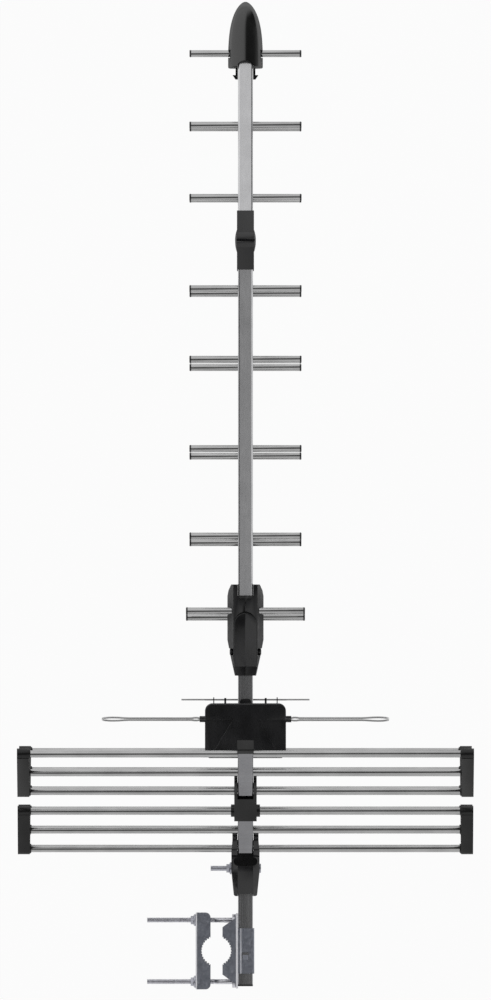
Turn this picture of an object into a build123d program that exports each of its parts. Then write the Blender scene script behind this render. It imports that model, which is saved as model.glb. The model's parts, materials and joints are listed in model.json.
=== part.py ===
from build123d import *
from math import atan2, cos, degrees, hypot, radians, sin, tan
import os

# Frame: +Y points from the mast towards the nose, +Z up, +X to the right seen from above.
# The origin is on the mast's axis at the middle height of the mast clamp.
# Every Y place below is a distance from the mast's axis, in millimetres.

# How far a cutting shape reaches past what it cuts
overcut = 1.0

# Booms, square tube
boom_side = 18.0
boom_wall = 1.2
tube_corner = 2.2
boom_offset = 35.0
boom_stack_gap = 2.0
boom_rear_y = -40.2
boom_front_y = 372.0
middle_rear_y = 377.0
outer_rear_y = 386.0
elbow_y = 853.0
elbow_rise = 88.0
outer_front_y = 1078.0
middle_front_y = 1086.0
socket_gap = 0.15
end_cap_lip = 2.2
end_cap_spigot = 9.0
end_cap_wall = 2.4

# Directors, round tube
director_radius = 4.2
director_wall = 0.8
director_length = 130.5
nose_director_length = 139.0
director_cap_lip = 2.0
director_cap_spigot = 6.0
director_cap_rim = 0.15
hole_gap = 0.05
dipole_y = 278.5
outer_front_stations = (626.0, 713.0)
outer_rear_stations = (220.0, 325.0, 432.0, 516.5)
outer_root_station = 130.0
middle_stations = (212.0, 316.0, 422.5, 511.5, 625.0, 710.5)
middle_root_station = 122.5
nose_station = 799.7

# Elbow coupling of a bent boom
elbow_sleeve_wall = 1.2
elbow_sleeve_length = 34.2
elbow_partition = 3.0
elbow_lobe_radius = 12.3
elbow_lobe_reach = 12.5
elbow_lobe_dome = 2.1
elbow_seam_side = 3.4

# Nose cone
nose_rear_y = 1060.6
nose_length = 80.0
nose_half_width = 20.9
nose_half_height = 40.4
nose_wall = 2.0
nose_tip_share = 0.998
nose_fullness = 3.2
nose_bluntness = 0.6
nose_shoulder_share = 0.8
nose_side_share = 0.55
nose_arch_depth = 9.0
nose_slot_depth = 3.4
nose_slot_gap = 0.6
nose_arch_margin = 1.5
nose_carrier_cover = 6.0
nose_hook_thickness = 2.8
nose_hook_length = 12.4
nose_hook_height = 22.0
nose_barb_reach = 3.4
nose_barb_length = 4.0

# Rear connector that joins the three front booms to the main boom
connector_rear_y = 330.8
connector_front_y = 440.2
connector_half_width = 21.7
connector_tip_half_width = 17.3
connector_tail_half_width = 12.8
connector_roof_y = 426.5
connector_wall = 2.4
connector_slope_y = 388.0
connector_top_half_width = 14.6
connector_skirt = 8.0
connector_least_lean = 1.0
connector_flare_length = 43.0
connector_flare_half_width = 17.6
connector_brow_half_width = 20.4
connector_screw_seat = 14.6
connector_screw_y = 359.4
connector_screw_radius = 2.0
connector_screw_head_radius = 3.8
connector_screw_head = 2.6
pod_front_y = 406.2
pod_rear_y = 341.4
pod_half_width = 13.2
pod_ridge = 4.6
pod_rim = 1.6
pod_seat_depth = 1.5
roof_groove_width = 2.6
roof_groove_depth = 1.9
roof_bar_half_width = 7.0
roof_bar_inset = 2.6
roof_bend = 1.9

# Dipole box
box_width = 97.3
box_front_y = 297.4
box_rear_y = 231.8
box_half_height = 22.0
box_wall = 2.2
box_corner_radius = 9.0
box_rear_chamfer = 5.0
box_lid_height = 8.0
box_lid_roof = 4.8
box_duct_wall = 1.6
box_lip = 1.4
box_lip_height = 2.5
tongue_half_width = 6.8
tongue_reach = 5.6
tongue_corner = 4.0
gasket_height = 1.2
gasket_inset = 0.6
facet_front_half = 14.8
facet_rear_inset = 12.65
facet_front_y = 278.0
facet_rear_y = 242.4
shoulder_step = 1.2
shoulder_slope = 4.0
shoulder_wall_lean = 20.0
lid_top_fillet = 1.6
post_width = 2.4
post_height = 8.0
post_spread = 24.3
clip_width = 1.2
clip_reach = 7.2
clip_inset = 10.55
boss_radius = 2.4
boss_length = 6.4

# Circuit board and its stand-offs in the box
board_side_gap = 8.65
board_end_gap = 10.8
board_thickness = 1.6
board_rise = 5.0
board_post_radius = 2.6
terminal_thickness = 1.0
terminal_width = 6.0

# Coaxial socket
socket_x = 26.0
socket_y = 262.0
thread_radius = 4.76
thread_length = 11.0
socket_hex_across = 11.0
socket_hex_height = 2.6
socket_shank_radius = 4.2
socket_bore_radius = 3.4
socket_back_wall = 1.2
contact_radius = 0.6
contact_depth = 8.0
insulator_recess = 0.8

# Dipole loops and the front element
dipole_wire_radius = 1.5
dipole_half_height = 10.0
dipole_half_span = 172.8
dipole_twist = 1.4
dipole_twist_run = 31.0
dipole_root_run = 14.0
dipole_corner_radius = 7.0
dipole_root_inset = 12.65
front_element_radius = 1.0
front_element_length = 154.0
front_element_gap = 4.4
front_element_drop = 0.6

# Reflector frames
rod_radius = 4.2
rod_wall = 0.8
rod_plug = 12.0
reflector_width = 546.6
hinge_y = 123.0
hinge_z = 21.2
inner_tilt = 38.0
outer_tilt = 52.0
link_tilt = 44.0
inner_rod_step = 28.9
outer_rod_step = 37.0
link_length = 33.4
arm_width = 18.5
arm_height = 14.0
arm_wall = 1.2
arm_tail = 6.0
arm_seat = 7.0
knee_tail = 4.0
arm_end_margin = 1.0
end_bar_width = 14.4
end_bar_radius = 6.6
end_bar_collar = 1.4
end_bar_collar_radius = 5.4
end_bar_groove = 0.6
end_bar_groove_width = 1.6
tip_cap_wall = 0.6
tip_cap_rear = 8.6
tip_cap_front = 17.1
tip_cap_floor = 3.0
tip_cap_fillet = 2.0
running_gap = 0.06
swing_gap = 0.5
knee_travel = 60.0
knee_travel_steps = 6
fork_gap = 0.4
fork_wall = 3.8
fork_reach = 20.0
fork_half_height = 7.4
block_half_height = 8.8
block_boss_radius = 6.7
block_boss_reach = 4.0
block_tail = 8.6

# Reflector bracket on the main boom
bracket_rear_y = 66.0
bracket_front_y = 133.0
bracket_shoulder_y = 95.0
bracket_half_width = 16.9
bracket_tail_half_width = 13.9
bracket_ear_half_width = 15.7
bracket_recess_y = 102.6
bracket_recess_corner = 6.0
bracket_pocket_half_width = 14.2
bracket_pocket_front_y = 113.0
bracket_pocket_corner = 5.0
bracket_ridge_half_width = 9.2
bracket_bevel_drop = 6.5
bracket_notch = 2.6
bracket_foot_corner = 2.5
bracket_floor = 1.9
bracket_top = 24.5
bracket_tail_top = 14.5
bracket_ear_radius = 9.4
bracket_cheek_reach = 14.0
bracket_cheek_radius = 7.4

# Cross bolt of the bracket
cross_bolt_y = 99.2
cross_bolt_radius = 3.0
cross_bolt_head_radius = 5.5
cross_bolt_head = 5.6
cross_bolt_head_seat = 3.9
cross_bolt_length = 54.8
bolt_hole_gap = 0.3

# Hexagon flange nuts
nut_across = 10.0
nut_height = 6.0
nut_flange_radius = 7.3
nut_flange_height = 1.6
nut_cone_height = 3.0

# Mast clamp, pressed steel
mast_radius = 17.5
clamp_sheet = 2.0
clamp_half_height = 14.0
clamp_half_length = 46.0
outer_jaw_back = 23.2
outer_jaw_front = 7.0
outer_jaw_corner = 6.0
outer_plate_thickness = 1.6
inner_jaw_tip = 7.4
inner_jaw_shoulder = 28.2
inner_jaw_half_length = 40.0
tooth_count = 34
tooth_depth = 1.9
tooth_half_width = 1.3
inner_plate_thickness = 2.4
inner_plate_half_length = 45.0
stud_radius = 3.0
stud_spread = 37.0
stud_end = 83.2
stud_collar_radius = 7.3
stud_collar_length = 4.6
saddle_sheet = 1.5
saddle_half_length = 27.2
saddle_corner = 2.4
saddle_bead_offset = 5.6
saddle_bead_radius = 0.8
saddle_tongue_width = 7.0
saddle_tongue_length = 9.0
saddle_tongue_y = -6.0
saddle_tongue_drop = 2.2
saddle_tongue_gap = 0.5
saddle_gap = 0.1

# Sizes that follow from the ones above
stack_pitch = boom_side + boom_stack_gap
boom_half = boom_side / 2
rear_angle = degrees(atan2(elbow_rise - stack_pitch, elbow_y - outer_rear_y))
front_angle = degrees(atan2(stack_pitch - elbow_rise, outer_front_y - elbow_y))
elbow_half_bend = (rear_angle - front_angle) / 2
elbow_setback = boom_half * tan(radians(elbow_half_bend)) + elbow_partition / 2
channel_half = boom_half + socket_gap
nose_director_y = dipole_y + nose_station
arm_half = arm_width / 2
arm_half_height = arm_height / 2
fork_half = arm_half + fork_gap
inner_plate_x = boom_offset - boom_half
inner_jaw_back = inner_plate_x - inner_plate_thickness
box_split_z = box_half_height - box_lid_height
facet_rear_half = box_width / 2 - facet_rear_inset
clip_spread = box_width / 2 - clip_inset
board_width = box_width - 2 * board_side_gap
board_length = box_front_y - box_rear_y - 2 * board_end_gap
dipole_inner_end = box_width / 2 - dipole_root_inset
front_element_y = box_front_y + front_element_gap
front_element_z = -(boom_half + front_element_radius + front_element_drop)
bolt_head_seat_x = bracket_half_width - cross_bolt_head_seat

side_plane = Plane(origin=(boom_offset, 0, 0), x_dir=(0, 1, 0), z_dir=(1, 0, 0))


def outer_boom_height(y):
    """Height of the upper boom's axis at a distance from the mast."""
    if y < elbow_y:
        return stack_pitch + (y - outer_rear_y) * tan(radians(rear_angle))
    return elbow_rise + (y - elbow_y) * tan(radians(front_angle))


def tilted_plane(y, z, angle):
    """A plane across a tube that rises at an angle in the boom's upright plane."""
    run = (0, cos(radians(angle)), sin(radians(angle)))
    return Plane(origin=(boom_offset, y, z), x_dir=(1, 0, 0), z_dir=run)


def tilted_bar(y, z, angle, start, end, width, height):
    """A solid bar along the tilted direction, from start to end of its axis."""
    section = tilted_plane(y, z, angle).offset(start) * Rectangle(width, height)
    return extrude(section, end - start)


def tilted_tube(y, z, angle, start, end, width, height, wall):
    """A rectangular tube with rounded corners along the tilted direction."""
    section = RectangleRounded(width, height, tube_corner)
    section -= RectangleRounded(width - 2 * wall, height - 2 * wall, tube_corner - wall)
    return extrude(tilted_plane(y, z, angle).offset(start) * section, end - start)


def cross_cylinder(y, z, radius, length, x=boom_offset):
    """A cylinder along X, centred on x."""
    return Pos(x, y, z) * Rot(0, 90, 0) * Cylinder(radius, length)


def cross_tube(y, z, radius, wall, length):
    """A round tube along X, centred on the boom."""
    return cross_cylinder(y, z, radius, length) - cross_cylinder(y, z, radius - wall, length + overcut)


def side_extrude(sketch, width):
    """A side-view sketch, drawn in Y and Z, given a width about the boom's axis."""
    return extrude(side_plane * sketch, width / 2, both=True)


def plan_extrude(sketch, low, high):
    """A plan sketch, drawn in X and Y, given a height."""
    return extrude(Plane.XY.offset(low) * sketch, high - low)


def boom_plan(half_widths):
    """A closed outline in plan, mirrored about the boom, from (y, half width) pairs."""
    right = [(boom_offset + half, y) for y, half in half_widths]
    left = [(boom_offset - half, y) for y, half in reversed(half_widths)]
    return make_face(Polyline(*right, *left, close=True))


def side_profile(half_heights):
    """A closed outline in side view, mirrored about Z = 0, from (y, half height) pairs."""
    upper = [(y, half) for y, half in half_heights]
    lower = [(y, -half) for y, half in reversed(half_heights)]
    return make_face(Polyline(*upper, *lower, close=True))


def stadium(y0, z0, y1, z1, radius):
    """A side-view slot shape whose round ends are centred on two points."""
    turn = degrees(atan2(z1 - z0, y1 - y0))
    place = Pos((y0 + y1) / 2, (z0 + z1) / 2) * Rot(0, 0, turn)
    return place * SlotCenterToCenter(hypot(y1 - y0, z1 - z0), 2 * radius)


def moved_along(point, angle, distance):
    """The point reached from another by going a distance at an angle above +Y."""
    return (
        point[0] + distance * cos(radians(angle)),
        point[1] + distance * sin(radians(angle)),
    )


def below(shape):
    """The mirror image under the boom."""
    return mirror(shape, about=Plane.XY)


def save(name, shape):
    """Writes one piece."""
    export_step(shape, f"parts/{name}.step")


# Places of the reflector's rods in side view, from the hinge outwards
hinge_point = (hinge_y, hinge_z)
inner_rod_points = [moved_along(hinge_point, inner_tilt, n * inner_rod_step) for n in range(3)]
knee_point = moved_along(inner_rod_points[-1], link_tilt, link_length)
outer_rod_points = [moved_along(knee_point, outer_tilt, n * outer_rod_step) for n in range(3)]


def outer_station_holes(stations, radius):
    """Round holes across an upper boom at its directors."""
    holes = []
    for station in stations:
        y = dipole_y + station
        holes.append(cross_cylinder(y, outer_boom_height(y), radius, 3 * boom_side))
    return holes


def main_boom():
    """The horizontal boom from the mast clamp to the rear connector."""
    tube = tilted_tube(0, 0, 0, boom_rear_y, boom_front_y, boom_side, boom_side, boom_wall)
    bolt_hole = cross_cylinder(cross_bolt_y, 0, cross_bolt_radius + bolt_hole_gap, 2 * boom_side)
    tongue_hole = Pos(boom_offset, saddle_tongue_y, boom_half) * Box(
        saddle_tongue_width + 2 * saddle_tongue_gap,
        saddle_tongue_length + 2 * saddle_tongue_gap,
        3 * boom_wall,
    )
    screw_radius = connector_screw_radius + bolt_hole_gap
    screw_hole = cross_cylinder(connector_screw_y, 0, screw_radius, 2 * boom_side)
    return tube - bolt_hole - tongue_hole - screw_hole


def middle_boom():
    """The straight boom between the rear connector and the nose."""
    tube = tilted_tube(0, 0, 0, middle_rear_y, middle_front_y, boom_side, boom_side, boom_wall)
    radius = director_radius + hole_gap
    for station in (middle_root_station, *middle_stations, nose_station):
        tube -= cross_cylinder(dipole_y + station, 0, radius, 2 * boom_side)
    return tube


def outer_rear_boom():
    """The upper boom's rising half, from the rear connector to the elbow."""
    length = hypot(elbow_y - outer_rear_y, elbow_rise - stack_pitch)
    tube = tilted_tube(
        outer_rear_y,
        stack_pitch,
        rear_angle,
        0,
        length - elbow_setback,
        boom_side,
        boom_side,
        boom_wall,
    )
    stations = (outer_root_station, *outer_rear_stations)
    return tube - outer_station_holes(stations, director_radius + hole_gap)


def outer_front_boom():
    """The upper boom's falling half, from the elbow to the nose."""
    length = hypot(outer_front_y - elbow_y, elbow_rise - stack_pitch)
    tube = tilted_tube(
        elbow_y,
        elbow_rise,
        front_angle,
        elbow_setback,
        length,
        boom_side,
        boom_side,
        boom_wall,
    )
    return tube - outer_station_holes(outer_front_stations, director_radius + hole_gap)


def boom_end_cap():
    """The black plug in the boom's rear end."""
    bore = boom_side - 2 * boom_wall
    lip = tilted_bar(0, 0, 0, boom_rear_y - end_cap_lip, boom_rear_y, boom_side, boom_side)
    lip = fillet(lip.edges().filter_by(Axis.Y), tube_corner)
    hollow = bore - 2 * end_cap_wall
    section = RectangleRounded(bore, bore, tube_corner - boom_wall) - Rectangle(hollow, hollow)
    return lip + extrude(tilted_plane(0, 0, 0).offset(boom_rear_y) * section, end_cap_spigot)


def elbow():
    """The moulded coupling at the bend of the upper boom, with domed lobes at its sides."""
    outside = boom_side + 2 * elbow_sleeve_wall
    channel = 2 * channel_half
    rear = rear_angle + 180
    place = (elbow_y, elbow_rise)
    body = tilted_bar(*place, front_angle, 0, elbow_sleeve_length, outside, outside)
    body += tilted_bar(*place, rear, 0, elbow_sleeve_length, outside, outside)
    dome = (elbow_lobe_radius**2 / elbow_lobe_dome + elbow_lobe_dome) / 2
    lobe = Cylinder(elbow_lobe_radius, 2 * elbow_lobe_reach)
    lobe &= Pos(0, 0, elbow_lobe_reach - dome) * Sphere(dome)
    lobe &= Pos(0, 0, dome - elbow_lobe_reach) * Sphere(dome)
    body += Pos(boom_offset, elbow_y, elbow_rise) * Rot(0, 90, 0) * lobe
    reach = elbow_sleeve_length + overcut
    for angle in (front_angle, rear):
        body -= tilted_bar(*place, angle, elbow_setback, reach, channel, channel)
    seam = Pos(boom_offset, elbow_y, elbow_rise + elbow_lobe_radius) * Rot(45, 0, 0)
    return body - seam * Box(2 * outside, elbow_seam_side, elbow_seam_side)


def director_tubes(places, length):
    """Director tubes at (y, z) places."""
    return [cross_tube(y, z, director_radius, director_wall, length) for y, z in places]


def outer_places(stations):
    """The (y, z) places of directors on the upper boom."""
    return [(dipole_y + s, outer_boom_height(dipole_y + s)) for s in stations]


def middle_places(stations):
    """The (y, z) places of directors on the middle boom."""
    return [(dipole_y + s, 0) for s in stations]


def director_cap():
    """A round black plug for a director's end, along +Z from its seat."""
    rim = director_radius + director_cap_rim
    lip = Pos(0, 0, director_cap_lip / 2) * Cylinder(rim, director_cap_lip)
    lip = chamfer(lip.edges().group_by(Axis.Z)[-1], 0.6)
    spigot_radius = director_radius - director_wall
    spigot = Pos(0, 0, -director_cap_spigot / 2) * Cylinder(spigot_radius, director_cap_spigot)
    return lip + spigot


def director_caps(places, length):
    """Both end plugs of each director."""
    caps = []
    plug = director_cap()
    for y, z in places:
        for side in (1, -1):
            x = boom_offset + side * length / 2
            caps.append(Pos(x, y, z) * Rot(0, side * 90, 0) * plug)
    return caps


def nose_scale(share):
    """How full the nose is at a share of its length, from 1 at the rear to 0 at the tip."""
    return (1 - share**nose_fullness) ** nose_bluntness


def nose_body(half_width, half_height, shares):
    """A faceted bow shape lofted through ridged sections."""
    sections = []
    for share in shares:
        w = half_width * nose_scale(share)
        h = half_height * nose_scale(share)
        shoulder = nose_shoulder_share * h
        side = nose_side_share * h
        inset = nose_shoulder_share * w
        right = [(0, h), (inset, shoulder), (w, side), (w, -side), (inset, -shoulder)]
        corners = right + [(-x, -z) for x, z in right]
        y = nose_rear_y + share * nose_length
        plane = Plane(origin=(boom_offset, y, 0), x_dir=(1, 0, 0), z_dir=(0, 1, 0))
        sections.append(plane * make_face(Polyline(*corners, close=True)))
    return loft(sections, ruled=True)


nose_shares = (0.0, 0.22, 0.4, 0.53, 0.64, 0.73, 0.81, 0.87, 0.92, 0.96, 0.985, nose_tip_share)


def nose_shell():
    """The hollow nose cone with its boom arches and director slots."""
    shell = nose_body(nose_half_width, nose_half_height, nose_shares)
    inside = nose_body(nose_half_width - nose_wall, nose_half_height - nose_wall, nose_shares[:-3])
    shell -= inside
    arch = Pos(boom_offset, nose_rear_y) * Ellipse(boom_half + nose_arch_margin, nose_arch_depth)
    shell -= plan_extrude(arch, -2 * nose_half_height, 2 * nose_half_height)
    slot = Box(nose_half_width, 2 * (director_radius + nose_slot_gap), 3 * nose_half_height)
    for side in (1, -1):
        x = boom_offset + side * (1.5 * nose_half_width - nose_slot_depth)
        shell -= Pos(x, nose_director_y, 0) * slot
    return shell


def nose_carrier():
    """The inner moulding that seats the three boom ends, with two rear snap hooks."""
    front = middle_front_y + nose_carrier_cover
    body = nose_body(
        nose_half_width - nose_wall - socket_gap,
        nose_half_height - nose_wall - socket_gap,
        nose_shares[:3],
    )
    body &= Pos(boom_offset, (nose_rear_y + front) / 2, 0) * Box(
        4 * nose_half_width, front - nose_rear_y, 4 * nose_half_height
    )
    arch = Pos(boom_offset, nose_rear_y) * Ellipse(boom_half + nose_arch_margin, nose_arch_depth)
    body -= plan_extrude(arch, boom_half, 2 * nose_half_height)
    body -= plan_extrude(arch, -2 * nose_half_height, -boom_half)
    channel = 2 * channel_half
    for side in (1, -1):
        hook_y = nose_rear_y - nose_hook_length
        x = boom_offset + side * (channel_half + nose_hook_thickness / 2)
        arm = Pos(x, (hook_y + nose_rear_y) / 2, 0) * Box(
            nose_hook_thickness, nose_hook_length + 2 * overcut, nose_hook_height
        )
        inner = boom_offset + side * channel_half
        tip = inner + side * (nose_hook_thickness + nose_barb_reach)
        root = inner + side * nose_hook_thickness
        barb = make_face(
            Polyline(
                (inner, hook_y - overcut),
                (root, hook_y - overcut),
                (tip, hook_y + nose_barb_length),
                (inner, hook_y + nose_barb_length),
                close=True,
            )
        )
        body += arm + plan_extrude(barb, -nose_hook_height / 2, nose_hook_height / 2)
    body -= tilted_bar(0, 0, 0, nose_rear_y - nose_length, middle_front_y + socket_gap, channel, channel)
    length = hypot(outer_front_y - elbow_y, elbow_rise - stack_pitch)
    seat = tilted_bar(
        elbow_y, elbow_rise, front_angle, length / 2, length + socket_gap, channel, channel
    )
    body -= seat + below(seat)
    radius = director_radius + hole_gap
    return body - cross_cylinder(nose_director_y, 0, radius, 4 * nose_half_width)


def connector_half_height(y):
    """Height of the connector's top: along the rising booms, then down to the main boom."""
    top = boom_half / cos(radians(rear_angle)) + connector_wall
    if y >= connector_slope_y:
        return outer_boom_height(y) + top
    tail = boom_half + connector_wall
    rise = outer_boom_height(connector_slope_y) + top - tail
    return tail + rise * (y - connector_rear_y) / (connector_slope_y - connector_rear_y)


def leaning_section(y, half_width, half_height, skirt, top_half_width):
    """A section across Y, upright up to the skirt and leaning in from there to the top."""
    plane = Plane(origin=(boom_offset, y, 0), x_dir=(1, 0, 0), z_dir=(0, 1, 0))
    right = [
        (top_half_width, half_height),
        (half_width, skirt),
        (half_width, -skirt),
        (top_half_width, -half_height),
    ]
    corners = right + [(-x, -z) for x, z in right]
    return plane * make_face(Polyline(*corners, close=True))


def connector_body():
    """The whole outside of the connector with its boom channels, before it is split."""
    stops = [
        (connector_rear_y, connector_tail_half_width),
        (connector_rear_y + connector_flare_length / 2, connector_flare_half_width),
        (connector_rear_y + connector_flare_length, connector_half_width),
        (connector_slope_y, connector_half_width),
        (connector_roof_y, connector_half_width),
        ((connector_roof_y + connector_front_y) / 2, connector_brow_half_width),
        (connector_front_y, connector_tip_half_width),
    ]
    sections = []
    for y, half in stops:
        top = min(connector_top_half_width, half - connector_least_lean)
        height = connector_half_height(y)
        sections.append(leaning_section(y, half, height, connector_skirt, top))
    body = loft(sections, ruled=True)
    reach = 4 * connector_half_height(connector_front_y)
    roof_cut = connector_front_y - connector_roof_y + overcut
    channel = 2 * channel_half
    body -= Pos(boom_offset, connector_roof_y + roof_cut / 2, 0) * Box(channel, roof_cut, reach)
    rear_end = boom_front_y + socket_gap
    body -= tilted_bar(0, 0, 0, connector_rear_y - overcut, rear_end, channel, channel)
    front_end = connector_front_y + overcut
    body -= tilted_bar(0, 0, 0, middle_rear_y - socket_gap, front_end, channel, channel)
    socket = tilted_bar(
        outer_rear_y,
        stack_pitch,
        rear_angle,
        -socket_gap,
        connector_front_y - outer_rear_y + boom_side,
        channel,
        channel,
    )
    pocket_rear = connector_rear_y + connector_flare_length / 2
    pocket_front = outer_rear_y - 2 * connector_wall
    pocket_floor = channel_half + connector_wall
    pocket = make_face(
        Polyline(
            (pocket_rear, pocket_floor),
            (pocket_front, pocket_floor),
            (pocket_front, connector_half_height(pocket_front) - 3 * connector_wall),
            close=True,
        )
    )
    pocket = side_extrude(pocket, channel)
    body -= socket + pocket + below(socket) + below(pocket)
    radius = director_radius + hole_gap
    root_holes = outer_station_holes((outer_root_station,), radius)
    body -= root_holes
    body -= [below(hole) for hole in root_holes]
    body -= cross_cylinder(dipole_y + middle_root_station, 0, radius, 3 * boom_side)
    shank = connector_screw_radius + hole_gap
    body -= cross_cylinder(connector_screw_y, 0, shank, 4 * connector_half_width)
    for side in (1, -1):
        x = boom_offset + side * (connector_screw_seat + connector_half_width)
        width = 2 * (connector_screw_head_radius + bolt_hole_gap)
        body -= Pos(x, connector_screw_y, 0) * Box(2 * connector_half_width, width, reach)
    seat = side_extrude(top_band(-pod_seat_depth, connector_half_width), 3 * pod_half_width)
    seat &= plan_extrude(pod_sketch(socket_gap), 0, reach)
    groove = side_extrude(top_band(-roof_groove_depth, connector_half_width), 3 * pod_half_width)
    groove &= plan_extrude(roof_groove_sketch(), 0, reach)
    tail_height = boom_half + connector_wall
    tail = Pos(boom_offset, pod_rear_y - socket_gap - reach / 2, tail_height + reach / 2)
    step = tail * Box(reach, reach, reach)
    for cut in (seat, groove, step):
        body -= cut + below(cut)
    return body


def connector_half(side):
    """The right (1) or left (-1) half of the connector."""
    reach = 4 * connector_half_height(connector_front_y)
    keep = Pos(boom_offset + side * connector_half_width, connector_slope_y, 0) * Box(
        2 * connector_half_width, reach, reach
    )
    return connector_body() & keep


def connector_screw():
    """The cross screw and nut head that draw the connector's halves together."""
    span = 2 * (connector_screw_seat + connector_screw_head)
    shank = cross_cylinder(connector_screw_y, 0, connector_screw_radius, span)
    for side in (1, -1):
        x = boom_offset + side * (connector_screw_seat + connector_screw_head / 2)
        head = cross_cylinder(
            connector_screw_y, 0, connector_screw_head_radius, connector_screw_head, x
        )
        shank += head
    return shank


def pod_sketch(grow):
    """The pod's outline in plan: round at the front, square at the rear."""
    half = pod_half_width + grow
    front = pod_front_y - pod_half_width
    shape = Pos(boom_offset, (pod_rear_y - grow + front) / 2) * Rectangle(
        2 * half, front - pod_rear_y + grow
    )
    return shape + Pos(boom_offset, front) * Circle(half)


def roof_groove_sketch():
    """The bent groove in plan, from the roof's front edge to the pod, with a bar along the edge."""
    bar = Pos(boom_offset, connector_roof_y - roof_bar_inset) * Rectangle(
        2 * roof_bar_half_width, roof_groove_width
    )
    bends = [
        (boom_offset + roof_bend, connector_roof_y - roof_bar_inset),
        (boom_offset - roof_bend, (connector_roof_y + pod_front_y) / 2),
        (boom_offset - roof_bend, pod_front_y - roof_bar_inset),
    ]
    half = roof_groove_width / 2
    right = [(x + half, y) for x, y in bends]
    left = [(x - half, y) for x, y in reversed(bends)]
    return bar + make_face(Polyline(*right, *left, close=True))


def top_band(floor, roof):
    """A side-view band that follows the connector's top between two heights over it."""
    stops = (pod_rear_y - overcut, connector_slope_y, connector_front_y + overcut)
    lower = [(y, connector_half_height(y) + floor) for y in stops]
    upper = [(y, connector_half_height(y) + roof) for y in reversed(stops)]
    return make_face(Polyline(*lower, *upper, close=True))


def pod():
    """The ridged cover on the connector's sloping top."""
    sections = []
    reach = pod_half_width + overcut
    for y in (pod_rear_y - overcut, connector_slope_y, pod_front_y + overcut):
        top = connector_half_height(y)
        outline = [
            (-reach, top - pod_seat_depth),
            (-reach, top + pod_rim),
            (0, top + pod_ridge),
            (reach, top + pod_rim),
            (reach, top - pod_seat_depth),
        ]
        plane = Plane(origin=(boom_offset, y, 0), x_dir=(1, 0, 0), z_dir=(0, -1, 0))
        sections.append(plane * make_face(Polyline(*outline, close=True)))
    gable = loft(sections, ruled=True)
    return gable & plan_extrude(pod_sketch(0), 0, 3 * connector_half_height(pod_front_y))


def box_outline(inset=0.0):
    """The dipole box in plan: rounded at the front, its rear corners cut off."""
    half = box_width / 2 - inset
    front = box_front_y - inset
    rear = box_rear_y + inset
    corners = [(-half, rear), (half, rear), (half, front), (-half, front)]
    shape = make_face(Polyline(*[(boom_offset + x, y) for x, y in corners], close=True))
    shape = chamfer(shape.vertices().sort_by(Axis.Y)[:2], box_rear_chamfer - inset / 2)
    return fillet(shape.vertices().sort_by(Axis.Y)[-2:], box_corner_radius - inset)


def wire_places(side):
    """The (y, z) places where the upper and lower wires of one dipole loop enter the box."""
    return [
        (dipole_y - side * dipole_twist, dipole_half_height),
        (dipole_y + side * dipole_twist, -dipole_half_height),
    ]


def dipole_box_body():
    """The lower shell of the dipole box, with the boom's duct through it."""
    floor = box_wall - box_half_height
    body = plan_extrude(box_outline(), -box_half_height, box_split_z)
    body -= plan_extrude(box_outline(box_wall), floor, box_split_z + overcut)
    middle = (box_front_y + box_rear_y) / 2
    length = box_front_y - box_rear_y
    duct = 2 * (channel_half + box_duct_wall)
    body += Pos(boom_offset, middle, 0) * Box(duct, length - box_wall, duct)
    tongue = Pos(boom_offset, box_front_y, 0) * RectangleRounded(
        2 * tongue_half_width, 2 * tongue_reach, tongue_corner
    )
    tongue = plan_extrude(tongue, channel_half, channel_half + box_duct_wall)
    body += tongue & Pos(boom_offset, box_front_y, 0) * Box(box_width, 4 * tongue_reach, box_width)
    for side in (1, -1):
        for y, z in wire_places(side):
            x = boom_offset + side * (box_width + boss_length - box_wall) / 2
            body += cross_cylinder(y, z, boss_radius, boss_length + box_wall, x)
    for x, y in board_corners():
        post = Pos(x, y, floor + board_rise / 2) * Cylinder(board_post_radius, board_rise)
        body += post
    for side in (1, -1):
        x = boom_offset + side * post_spread
        reach = front_element_gap + 2 * front_element_radius
        body += Pos(x, box_front_y + reach / 2, front_element_z) * Box(
            post_width, reach, post_height
        )
        x = boom_offset + side * clip_spread
        body += Pos(x, box_front_y + clip_reach / 2, front_element_z) * Box(
            clip_width, clip_reach, post_height
        )
    channel = 2 * channel_half
    body -= Pos(boom_offset, middle, 0) * Box(channel, length + overcut, channel)
    for side in (1, -1):
        for y, z in wire_places(side):
            x = boom_offset + side * box_width / 2
            body -= cross_cylinder(y, z, dipole_wire_radius + hole_gap, 4 * boss_length, x)
    element_hole = front_element_radius + hole_gap
    body -= cross_cylinder(front_element_y, front_element_z, element_hole, box_width)
    hole = Cylinder(socket_shank_radius + hole_gap, 4 * box_wall)
    return body - Pos(boom_offset + socket_x, socket_y, -box_half_height) * hole


def board_corners():
    """Centres of the circuit board's four posts."""
    middle = (box_front_y + box_rear_y) / 2
    dx = board_width / 2 - 2 * board_post_radius
    dy = board_length / 2 - 2 * board_post_radius
    return [(boom_offset + i * dx, middle + j * dy) for i in (1, -1) for j in (1, -1)]


def box_gasket():
    """The flat seal between the box and its lid."""
    ring = box_outline(gasket_inset) - box_outline(box_wall)
    return plan_extrude(ring, box_split_z, box_split_z + gasket_height)


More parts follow.
